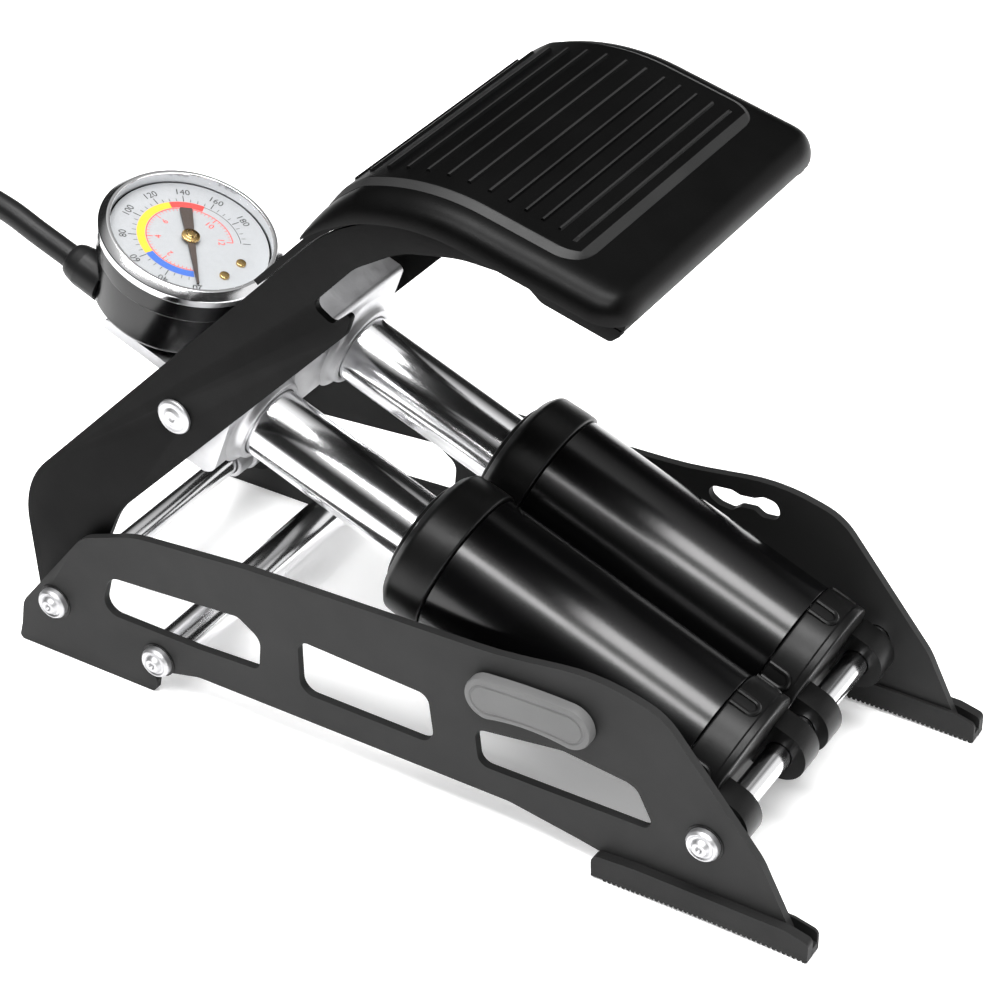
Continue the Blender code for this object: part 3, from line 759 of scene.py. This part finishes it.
def shell(name, runs, half_at, top_at, bottom_at, columns):
    """A closed slab on the arch; its half width, top and bottom are functions of the run."""
    edit = bmesh.new()
    tops = []
    bottoms = []
    for run in runs:
        half = half_at(run)
        tops.append([edit.verts.new(on_arch(run, top_at(run, v * half, half), v * half))
                     for v in columns])
        bottoms.append([edit.verts.new(on_arch(run, bottom_at(run, v * half), v * half))
                        for v in columns])
    last = len(columns) - 1
    for top, bottom, next_top, next_bottom in zip(tops, bottoms, tops[1:], bottoms[1:]):
        for i in range(last):
            edit.faces.new((top[i], top[i + 1], next_top[i + 1], next_top[i]))
            edit.faces.new((bottom[i], next_bottom[i], next_bottom[i + 1], bottom[i + 1]))
        edit.faces.new((top[0], next_top[0], next_bottom[0], bottom[0]))
        edit.faces.new((top[last], bottom[last], next_bottom[last], next_top[last]))
    for top, bottom in ((tops[0], bottoms[0]), (tops[-1], bottoms[-1])):
        for i in range(last):
            edit.faces.new((top[i], bottom[i], bottom[i + 1], top[i + 1]))
    return from_edit(name, edit)


COVER_START = 0.0040
COVER_END = 0.1085
COVER_HALF = 0.0580
COVER_EDGE = 0.0030
COVER_RISE = 0.0072
PAD_START = 0.0130
PAD_END = 0.0900
PAD_HALF = 0.0500
RIB_PITCH = 0.0054
RIB_COUNT = 13
RIB_HALF = 0.0415
RIB_FLAT = 0.00030


def cover_height(run, y, half):
    """How far the cover stands out from the arch; its rear end thins to a wedge."""
    side = falloff(half - abs(y), 0.0085)
    front = falloff(COVER_END - run, 0.0070)
    rear = min(1.0, max(0.0, run - COVER_START) / 0.0230) ** 0.8
    return COVER_EDGE + COVER_RISE * side * front * rear


def make_pedal():
    for side, sign in SIDES:
        holes = [circle(REAR_PIVOT.x, REAR_PIVOT.z, SHAFT_BORE),
                 circle(HEAD_PIVOT.x, HEAD_PIVOT.z, PIN_BORE)]
        arm = flat_solid("arm_side_" + side, [rounded(ARM_OUTLINE, math.radians(3.0)), *holes],
                         ARM_T / 2.0, standing(sign * ARM_Y), 0.0003)
        piece(arm, ARM_BLACK, "arm_plate_" + side)
        turn = outwards(sign)
        bolt = turned("arm_bolt_" + side, bolt_profile(0.0058, 0.0019),
                      at_y(HEAD_PIVOT, sign * 0.0522, turn), 64)
        piece(bolt, STEEL, "pivot_bolt_" + side)
        bush = sleeve(0.0060, PIN_BORE, 0.0496, 0.0443, 0.0004, 0.0)
        piece(turned("arm_bush_" + side, bush, at_y(HEAD_PIVOT, 0.0, turn), 64, True), STEEL,
              "pivot_bush_" + side)
    rod = disc(0.0036, 0.0519, -0.0519, 0.0003)
    piece(turned("arm_pin", rod, at_y(HEAD_PIVOT, 0.0, UPRIGHT), 48), STEEL, "pivot_shaft")

    columns = spread(-1.0, 1.0, 57, 0.75)
    sheet_runs = spread(-0.0245, 0.1075, 60)
    plate = shell("pedal_sheet", sheet_runs, lambda run: 0.0520, lambda run, y, half: 0.0023,
                  lambda run, y: 0.0004, spread(-1.0, 1.0, 5))
    piece(plate, ARM_BLACK, "pedal_plate")

    def cover_half(run):
        front = corner_inset(COVER_END - run, 0.0100)
        return COVER_HALF - front - corner_inset(run - COVER_START, 0.0040)

    cover = shell("pedal_shell", spread(COVER_START, COVER_END, 96, 0.55), cover_half, cover_height,
                  lambda run, y: 0.0026, columns)
    piece(cover, COVER_BLACK, "pedal_cover", smooth=60.0)
    make_pad()


def make_pad():
    """A tread pad with thin raised ribs and a broad sloping edge."""
    slope = 0.0026
    first_rib = PAD_START + 0.0060

    def pad_half(run):
        front = corner_inset(PAD_END - run, 0.0085)
        return PAD_HALF - front - corner_inset(run - PAD_START, 0.0020)

    def rib(run, y):
        phase = (run - first_rib) / RIB_PITCH
        nearest = round(phase)
        if abs(y) > RIB_HALF or nearest < 0 or nearest >= RIB_COUNT:
            return 0.0
        away = abs(phase - nearest) * RIB_PITCH
        return 1.0 if away < RIB_FLAT else max(0.0, 1.0 - (away - RIB_FLAT) / RIB_FLAT)

    def pad_height(run, y, half):
        base = cover_height(run, 0.0, COVER_HALF)
        edge = cover_height(run, y, COVER_HALF)
        rim = min(half - abs(y), PAD_END - run, (run - PAD_START) * 0.4)
        share = min(1.0, max(0.0, rim) / slope)
        return edge + (base + 0.0013 - edge) * share + 0.0001 + 0.0007 * rib(run, y)

    runs = {PAD_START, PAD_START + 0.0004, PAD_START + 0.0008, PAD_END}
    for number in range(RIB_COUNT):
        middle = first_rib + number * RIB_PITCH
        for away in (-0.0027, -0.0012, -0.0006, -0.0003, 0.0003, 0.0006, 0.0012):
            runs.add(round(middle + away, 6))
    for i in range(18):
        runs.add(round(PAD_END - 0.00054 * i, 6))
    runs = sorted(run for run in runs if PAD_START <= run <= PAD_END)
    columns = [0.0, 0.25, 0.5, 0.75, 0.815, 0.829, 0.831, 0.86, 0.90, 0.930, 0.947, 0.956, 0.968,
               0.980, 0.990, 1.0]
    columns = sorted({-v for v in columns} | set(columns))
    pad = shell("pedal_tread", runs, pad_half, pad_height,
                lambda run, y: min(cover_height(run, y, COVER_HALF), 0.0100) - 0.0004, columns)
    for material in (PAD_BLACK, PAD_EDGE_HIGHLIGHT, RIB_HIGHLIGHT):
        pad.data.materials.append(material)
    strip = 2 * len(columns)
    centres = [first_rib + number * RIB_PITCH for number in range(RIB_COUNT)]
    for face in pad.data.polygons:
        spots = [pad.data.vertices[i].co for i in face.vertices]
        middle = sum(spots, Vector()) / len(spots)
        # Faces that slope to the front or to the sides get the lighter grey, a painted highlight on the
        # bevel.
        ahead = face.normal.dot(Vector((math.cos(FRONT_SLOPE), 0.0, -math.sin(FRONT_SLOPE))))
        at_front = middle.x > 0.0560 and abs(ahead) > 0.20
        at_side = abs(face.normal.y) > 0.25 and abs(middle.y) > 0.0425
        face.material_index = 1 if at_front or at_side else 0
        # Faces along each rib's crest get the lighter rib grey, a painted highlight.
        row = face.index // strip
        if row < len(runs) - 1 and abs(middle.y) < RIB_HALF:
            run = (runs[row] + runs[row + 1]) / 2.0
            if min(abs(run - centre) for centre in centres) < 0.0004:
                face.material_index = 2
    piece(pad, None, "pedal_pad", smooth=24.0)


# ------------ barrels


def raised_loop(edit, radius, middle, reach, low, high):
    """A raised U on a cylinder's wall, running along the axis, reach to each side as an angle."""
    out = Vector((math.cos(middle), math.sin(middle), 0.0))
    bend = radius * reach
    path = [Vector((middle - reach, high))]
    for i in range(13):
        angle = math.pi + math.pi * i / 12
        path.append(Vector((middle + reach * math.cos(angle), low + bend * (1.0 + math.sin(angle)))))
    path.append(Vector((middle + reach, high)))
    points = [Vector((radius * math.cos(p.x), radius * math.sin(p.x), p.y)) for p in path]
    sweep_into(edit, points, 0.0009, 10, out)


def make_barrels():
    """Each barrel with its rolled collar and its ribbed end cap on two ears."""
    for side, sign in SIDES:
        at = TUBE_FRAME @ Matrix.Translation((0.0, sign * BARREL_Y, 0.0))
        barrel = sleeve(0.0236, 0.0215, 0.1080, 0.0190, 0.0003)
        piece(turned("barrel_tube_" + side, barrel, at, 160, True), BARREL_BLACK, "barrel_" + side)
        collar = [(0.0150, 0.1256, 0.0006), (0.0168, 0.1250, 0.0008), (0.0174, 0.1236, 0.0008),
                  (0.0214, 0.1230, 0.0016), (0.0243, 0.1206, 0.0022), (0.0247, 0.1120, 0.0010),
                  (0.0247, 0.1083, 0.0008), (0.0118, 0.1083, 0.0003), (0.0118, 0.1256, 0.0004)]
        piece(turned("barrel_collar_" + side, collar, at, 160, True), CAP_BLACK, "collar_" + side)
        edit = bmesh.new()
        cap = [(0.0, 0.0187, 0.0), (0.0240, 0.0187, 0.0008), (0.0243, 0.0160, 0.0),
               (0.0243, 0.0090, 0.0004), (0.0247, 0.0084, 0.0003), (0.0247, 0.0060, 0.0008),
               (0.0228, 0.0057, 0.0008), (0.0, 0.0057, 0.0)]
        turn_into(edit, cap, 160)
        for number in range(6):
            raised_loop(edit, 0.0243, math.tau * number / 6 - 0.06, 0.105, 0.0100, 0.0182)
        piece(from_edit("barrel_cap_" + side, edit, at), CAP_BLACK, "end_cap_" + side)
        for middle in (0.0435, 0.0075):
            lug = [(-0.0090, 0.0075, 0.0), (-0.0090, -0.0090, 0.0090), (0.0090, -0.0090, 0.0090),
                   (0.0090, 0.0075, 0.0)]
            loops = [rounded(lug), circle(0.0, 0.0, SHAFT_BORE)]
            ear = flat_solid("cap_ear_%s_%d" % (side, round(middle * 10000)), loops, 0.0045,
                             TUBE_FRAME @ Matrix.Translation((0.0, sign * middle, 0.0)) @ UPRIGHT,
                             0.0007, 3)
            piece(ear, CAP_BLACK, body="barrels")


def make_head():
    """The cast head with the chrome tubes that carry the pistons."""
    pivot = HEAD_PIVOT - FRONT_PIVOT
    across = pivot.x * math.sin(TUBE_TILT) + pivot.z * math.cos(TUBE_TILT)
    along = pivot.z * math.sin(TUBE_TILT) - pivot.x * math.cos(TUBE_TILT)
    outline = ((-0.0150, HEAD_FRONT, 0.0050), (0.0210, HEAD_FRONT, 0.0020), (0.0210, 0.2060, 0.0010),
               (0.0190, HEAD_BACK, 0.0020), (-0.0150, HEAD_BACK, 0.0035))
    head = flat_solid("head_block", [rounded(outline), circle(across, along, HEAD_BORE)], HEAD_HALF,
                      TUBE_FRAME @ UPRIGHT, 0.0009, 3)
    piece(head, CAST, "head")
    for side, sign in SIDES:
        at = TUBE_FRAME @ Matrix.Translation((0.0, sign * BARREL_Y, 0.0))
        boss = [(0.0118, 0.1838, 0.0004), (0.0136, 0.1838, 0.0008), (0.0146, 0.1868, 0.0030),
                (0.0175, 0.1878, 0.0), (0.0118, 0.1878, 0.0)]
        piece(turned("head_boss_" + side, boss, at, 96, True), CAST, body="head_unit")
        tube = sleeve(0.0115, 0.0095, 0.1872, 0.0983, 0.0003)
        piece(turned("chrome_tube_" + side, tube, at, 160, True), CHROME, "tube_" + side)
        piston = disc(0.0209, 0.0980, 0.0900, 0.0006)
        piece(turned("piston_disc_" + side, piston, at, 96), CAST, "piston_" + side)
        seal = disc(0.0212, 0.0897, 0.0867, 0.0008, 0.0003)
        piece(turned("piston_cup_" + side, seal, at, 96), HOSE_RUBBER, "piston_seal_" + side)


# ------------ gauge

DIAL_FACE = -0.0040
INK_LIFT = 0.00004
SCALE_START = -135.0


def dial_spot(radius, degrees, height=DIAL_FACE):
    angle = math.radians(degrees)
    return Vector((radius * math.sin(angle), radius * math.cos(angle), height))


def ink_arc(edit, inner, outer, start, end, index):
    steps = max(2, math.ceil((end - start) / 3.0))
    height = DIAL_FACE + INK_LIFT
    rows = []
    for i in range(steps + 1):
        degrees = start + (end - start) * i / steps
        rows.append((edit.verts.new(dial_spot(inner, degrees, height)),
                     edit.verts.new(dial_spot(outer, degrees, height))))
    for first, second in zip(rows, rows[1:]):
        face = edit.faces.new((first[0], first[1], second[1], second[0]))
        face.material_index = index


def ink_tick(edit, inner, outer, degrees, width, index):
    out = dial_spot(1.0, degrees, 0.0)
    side = Vector((out.y, -out.x, 0.0)) * width / 2.0
    corners = []
    for radius, sign in ((inner, -1.0), (outer, -1.0), (outer, 1.0), (inner, 1.0)):
        spot = out * radius + side * sign
        corners.append(edit.verts.new((spot.x, spot.y, DIAL_FACE + INK_LIFT)))
    edit.faces.new(corners).material_index = index


def make_dial():
    """Three coloured bands between an outer and an inner scale of ticks and numbers."""
    edit = bmesh.new()
    inks = (INK_BLACK, INK_RED, INK_BLUE, INK_YELLOW)
    black, red, blue, yellow = range(4)
    for start, end, ink in ((-133.0, -73.0, blue), (-73.0, 28.0, yellow), (28.0, 68.0, red)):
        ink_arc(edit, 0.0142, 0.0168, start, end, ink)
    ink_arc(edit, 0.0163, 0.0165, 68.0, 135.0, black)
    ink_arc(edit, 0.0137, 0.0140, -135.0, 135.0, red)
    for i in range(37):
        degrees = SCALE_START + 7.5 * i
        major = i % 4 == 0
        ink_tick(edit, 0.0170, 0.0196 if major else 0.0183, degrees, 0.00028 if major else 0.00018,
                 black)
    for i in range(49):
        degrees = SCALE_START + 270.0 * i / 48.0
        major = i % 8 == 0
        ink_tick(edit, 0.0118 if major else 0.0127, 0.0138, degrees, 0.00030 if major else 0.00016,
                 red)
    marks = from_edit("dial_marks", edit, GAUGE_FRAME)
    for ink in inks:
        marks.data.materials.append(ink)
    piece(marks, None, body="head_unit")
    write_numbers("outer_number", range(20, 200, 20), 0.0212, 0.0034, 0, 30.0, INK_BLACK)
    write_numbers("inner_number", range(2, 13, 2), 0.0100, 0.0031, 1, 45.0, INK_RED)


def write_numbers(name, numbers, radius, size, first, pitch, ink):
    """Figures round the scale from its first step on, each standing across its own radius."""
    for order, number in enumerate(numbers, first):
        degrees = SCALE_START + pitch * order
        text = bpy.data.curves.new("%s_%d" % (name, number), "FONT")
        text.body = str(number)
        text.size = size
        text.align_x = "CENTER"
        text.align_y = "CENTER"
        text.resolution_u = 3
        data = mesh_from("%s_%d_text" % (name, number), text)
        place = Matrix.Translation(dial_spot(radius, degrees, DIAL_FACE + INK_LIFT))
        data.transform(GAUGE_FRAME @ place @ Matrix.Rotation(math.radians(-degrees), 4, "Z"))
        piece(new_object("%s_%d" % (name, number), data), ink, body="head_unit")


def make_gauge():
    bezel = [(0.0260, 0.0, 0.0002), (0.0270, 0.0, 0.0005), (0.0294, -0.0022, 0.0008),
             (0.0294, -0.0048, 0.0005), (0.0258, -0.0048, 0.0002), (0.0258, -0.0004, 0.0002)]
    piece(turned("gauge_bezel", bezel, GAUGE_FRAME, 192, True), CHROME, "bezel")
    case = disc(0.0280, -0.0051, -0.0130, 0.0004, 0.0012)
    piece(turned("gauge_drum", case, GAUGE_FRAME, 160), GAUGE_BLACK, "gauge_case")
    cup = [(0.0, -0.0133, 0.0), (0.0264, -0.0133, 0.0003), (0.0264, -0.0297, 0.0026),
           (0.0070, -0.0297, 0.0002), (0.0070, -0.0320, 0.0003), (0.0, -0.0320, 0.0)]
    piece(turned("gauge_body", cup, GAUGE_FRAME, 160), GAUGE_BLACK, "gauge_cup")
    neck = disc(0.0256, -0.0129, -0.0134)
    piece(turned("gauge_neck", neck, GAUGE_FRAME, 96), GAUGE_BLACK, body="head_unit")
    dial = disc(0.0255, DIAL_FACE, -0.0048, 0.0002)
    piece(turned("dial_plate", dial, GAUGE_FRAME, 128), DIAL_WHITE, "dial")
    cover = disc(0.0255, -0.0005, -0.0013, 0.0002)
    piece(turned("gauge_glass", cover, GAUGE_FRAME, 128), CLEAR, "lens")
    for number, across in ((1, -0.0043), (2, 0.0043)):
        at = GAUGE_FRAME @ Matrix.Translation((across, -0.0172, 0.0))
        head = disc(0.0016, -0.0032, DIAL_FACE, 0.0003, 0.0)
        screw = turned("dial_pin_%d" % number, head, at, 40, False, math.radians(20.0))
        piece(screw, BRASS, "dial_screw_%d" % number)
    make_dial()
    needle = GAUGE_FRAME @ turn_about("Z", -SCALE_START)
    hand = [(-0.0021, -0.0130, 0.0006), (0.0021, -0.0130, 0.0006), (0.0013, 0.0, 0.0),
            (0.0003, 0.0205, 0.0), (-0.0003, 0.0205, 0.0), (-0.0013, 0.0, 0.0)]
    pointer = flat_solid("pointer_hand", [rounded(hand)], 0.0003,
                         needle @ Matrix.Translation((0.0, 0.0, -0.0030)), 0.0)
    piece(pointer, POINTER_GREY, "pointer")
    hub = [(0.0, -0.0014, 0.0), (0.0012, -0.0014, 0.0003), (0.0016, -0.0019, 0.0003),
           (0.0029, -0.0021, 0.0003), (0.0030, -0.0026, 0.0), (0.0, -0.0026, 0.0)]
    piece(turned("pointer_hub", hub, needle, 64), BRASS, "pointer_cap")
    bracket = ((-0.0135, HEAD_BACK - 0.0010, 0.0010), (-0.0096, HEAD_BACK - 0.0010, 0.0010),
               (-0.0096, 0.2500, 0.0018), (-0.0135, 0.2500, 0.0018))
    piece(flat_solid("gauge_shelf", [rounded(bracket)], 0.0220, TUBE_FRAME @ UPRIGHT, 0.0005),
          CAST, "gauge_bracket")
    at = TUBE_FRAME @ Matrix.Translation((GAUGE_W - PORT_DEPTH, PORT_Y, GAUGE_S))
    port = [(0.0, 0.0288, 0.0), (0.0052, 0.0288, 0.0006), (0.0060, 0.0270, 0.0012),
            (0.0067, 0.0238, 0.0012), (0.0068, 0.0150, 0.0), (0.0, 0.0150, 0.0)]
    piece(turned("hose_socket", port, at, 96), HOSE_RUBBER, "hose_port")


# ------------ hose

HOSE_R = 0.0040
HOSE_Z = 0.0042
COIL_CENTRE = Vector((-0.2244, -0.0620, 0.0))
COIL_R = 0.0400
COIL_GROWTH = 0.0086
COIL_TURNS = 1.25
CHUCK = Vector((-0.1928, -0.11275, 0.0082))


def landing(angle):
    """The last bend before the floor, from straight down to flat along -Y."""
    return Vector((COIL_CENTRE.x - COIL_R, COIL_CENTRE.y + COIL_R * math.cos(angle),
                   HOSE_Z + COIL_R - COIL_R * math.sin(angle)))


def hose_route():
    up = Vector((-math.cos(TUBE_TILT), 0.0, math.sin(TUBE_TILT)))
    across = Vector((math.sin(TUBE_TILT), 0.0, math.cos(TUBE_TILT)))
    port = FRONT_PIVOT + up * (GAUGE_S + PORT_LENGTH) + across * (GAUGE_W - PORT_DEPTH)
    port.y = PORT_Y
    route = [port, port + up * 0.0142, port + up * 0.0292,
             Vector((-0.1870, -0.0168, 0.1412)), Vector((-0.2100, -0.0172, 0.1362)),
             Vector((-0.2320, -0.0180, 0.1205)), Vector((-0.2490, -0.0192, 0.0975)),
             Vector((-0.2600, -0.0206, 0.0740)), landing(math.radians(-12.0))]
    route += [landing(math.radians(angle)) for angle in (10.0, 32.0, 54.0, 74.0)]
    turns = 24
    for i in range(turns + 1):
        share = i / turns
        angle = math.pi + math.tau * COIL_TURNS * share
        radius = COIL_R + COIL_GROWTH * COIL_TURNS * share
        route.append(COIL_CENTRE + Vector((radius * math.cos(angle), radius * math.sin(angle),
                                           HOSE_Z)))
    route += [Vector((-0.2140, CHUCK.y, HOSE_Z + 0.0006)), Vector((-0.2030, CHUCK.y, CHUCK.z - 0.0008)),
              Vector((CHUCK.x - 0.0004, CHUCK.y, CHUCK.z))]
    return route


def smooth_route(route, steps=6):
    ends = [route[0] * 2.0 - route[1], *route, route[-1] * 2.0 - route[-2]]
    fine = []
    for p0, p1, p2, p3 in zip(ends, ends[1:], ends[2:], ends[3:]):
        for step in range(steps):
            t = step / steps
            fine.append(0.5 * (2.0 * p1 + (p2 - p0) * t + (2.0 * p0 - 5.0 * p1 + 4.0 * p2 - p3) * t * t
                               + (3.0 * p1 - p0 - 3.0 * p2 + p3) * t ** 3))
    fine.append(route[-1])
    return fine


def make_hose():
    path = smooth_route(hose_route())
    edit = bmesh.new()
    sweep_into(edit, path, HOSE_R, 24)
    hose = from_edit("rubber_hose", edit)
    hose.data.materials.append(HOSE_RUBBER)
    hose.data.shade_smooth()
    hose.data.set_sharp_from_angle(angle=math.radians(50.0))
    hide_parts("hose_tube", "hose_coil")
    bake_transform(hose)
    chuck = Matrix.Translation(CHUCK) @ turn_about("Y", 90.0)
    ferrule = [(0.0, 0.0100, 0.0), (0.0060, 0.0100, 0.0004), (0.0060, 0.0075, 0.0003),
               (0.0055, 0.0070, 0.0003), (0.0055, 0.0040, 0.0003), (0.0060, 0.0035, 0.0003),
               (0.0060, 0.0010, 0.0006), (0.0048, 0.0, 0.0004), (0.0, 0.0, 0.0)]
    parts = [piece(turned("chuck_ferrule", ferrule, chuck, 64), STEEL, "hose_ferrule")]
    nose = [(0.0062, 0.0470, 0.0006), (0.0062, 0.0403, 0.0004), (0.0040, 0.0403, 0.0002),
            (0.0040, 0.0470, 0.0005)]
    parts.append(piece(turned("chuck_ring", nose, chuck, 64, True), STEEL, "chuck_nose"))
    nodes = frame["nodes"]
    for name, material in (("chuck_body", CAP_BLACK), ("lever_pin", STEEL), ("chuck_lever", STEEL)):
        dress(nodes[name], material)
        parts.append(nodes[name])


def dress(node, material):
    """A node that is shown as it is gets its finish and broken edges."""
    node.data.materials.clear()
    node.data.materials.append(material)
    soft = node.modifiers.new("broken_edges", "BEVEL")
    soft.width = 0.0004
    soft.segments = 2
    soft.limit_method = "ANGLE"
    soft.angle_limit = math.radians(40.0)


# ------------ studio


FLOOR_HALF = 4.0
FLOOR_DROP = 0.0002
# Height against light, from straight down to straight up.
SKY_STOPS = ((0.0, 0.9), (0.02, 0.35), (0.06, 0.02), (0.58, 0.015), (0.78, 0.45), (0.92, 0.95))
# A white card low at the front corner, by the sum of the view's X and Y.
CARD_START = 1.02
CARD_END = 1.22
CARD_LIGHT = 0.9
# Name, place, target, size, power and whether it shows in glossy finishes.
LAMPS = (
    ("fill", (-0.50, -1.10, 1.30), (0.0, 0.0, 0.05), (1.2, 1.2), 10.0, False),
    ("back", (-0.30, 1.10, 1.50), (0.0, 0.0, 0.05), (1.2, 1.2), 22.0, False),
    ("side", (0.32, -0.78, 1.50), (0.05, -0.03, 0.08), (1.7, 0.44), 40.0, True),
    ("over", (0.30, -0.06, 1.65), (0.05, -0.02, 0.08), (1.5, 0.50), 34.0, True),
)
CAMERA_PLACE = (0.390327, -0.587786, 0.566029)
CAMERA_AZIMUTH = math.radians(33.063)
CAMERA_ELEVATION = math.radians(34.963)
CAMERA_ROLL = math.radians(-1.517)
CAMERA_LENS = 100.86


def make_floor():
    data = bpy.data.meshes.new("studio_floor")
    edit = bmesh.new()
    bmesh.ops.create_grid(edit, x_segments=1, y_segments=1, size=FLOOR_HALF)
    edit.to_mesh(data)
    edit.free()
    floor = new_object("studio_floor", data)
    floor.location = (0.0, 0.0, -FLOOR_DROP)
    paper = Finish("studio_paper", grey(0.93), 0.7)
    paper.set("Emission Color", (1.0, 1.0, 1.0, 1.0))
    paper.set("Emission Strength", 0.28)
    data.materials.append(paper.material)


def make_sky():
    """A dark room with a bright ceiling, so that black paint stays black."""
    world = bpy.data.worlds.new("studio")
    bpy.context.scene.world = world
    sky = Shading(world, "Background")
    ways = sky.node("ShaderNodeSeparateXYZ", {}, sky.place("Generated"))
    room = sky.node("ShaderNodeValToRGB", {"stops": SKY_STOPS}, ways.out("Z")).out()
    card = sky.node("ShaderNodeMapRange", {}, ways.out("X") + ways.out("Y"), CARD_START, CARD_END,
                    0.0, CARD_LIGHT).out()
    sky.set("Color", room + card)
    sky.set("Strength", 1.0)


def make_lamps():
    """Strips that shine in the gloss lie along X; the others face the pump and only light it."""
    for name, place, target, size, power, shines in LAMPS:
        data = bpy.data.lights.new(name, "AREA")
        data.shape = "RECTANGLE"
        data.size, data.size_y = size
        data.energy = power
        lamp = new_object(name, data)
        lamp.location = place
        lamp.visible_glossy = shines
        aim = Vector(target) - Vector(place)
        turn = aim.to_track_quat("-Z", "Y").to_matrix().to_4x4()
        if shines:
            turn = Matrix.Rotation(math.atan2(-aim.y, -aim.z), 4, "X")
        lamp.rotation_euler = turn.to_euler()


def make_camera():
    level = math.cos(CAMERA_ELEVATION)
    right = Vector((math.cos(CAMERA_AZIMUTH), math.sin(CAMERA_AZIMUTH), 0.0))
    back = Vector((math.sin(CAMERA_AZIMUTH) * level, -math.cos(CAMERA_AZIMUTH) * level,
                   math.sin(CAMERA_ELEVATION)))
    up = back.cross(right)
    across = right * math.cos(CAMERA_ROLL) + up * math.sin(CAMERA_ROLL)
    upright = up * math.cos(CAMERA_ROLL) - right * math.sin(CAMERA_ROLL)
    data = bpy.data.cameras.new("camera")
    data.lens = CAMERA_LENS
    data.sensor_width = 36.0
    data.clip_start = 0.01
    camera = new_object("camera", data)
    turn = Matrix((across, upright, back)).transposed().to_4x4()
    camera.matrix_world = Matrix.Translation(CAMERA_PLACE) @ turn
    bpy.context.scene.camera = camera
    bpy.context.scene.view_settings.view_transform = "Standard"


make_base_plates()
make_feet()
make_badge()
make_base_metal()
make_pedal()
make_barrels()
make_head()
make_gauge()
make_hose()
make_floor()
make_sky()
make_lamps()
make_camera()
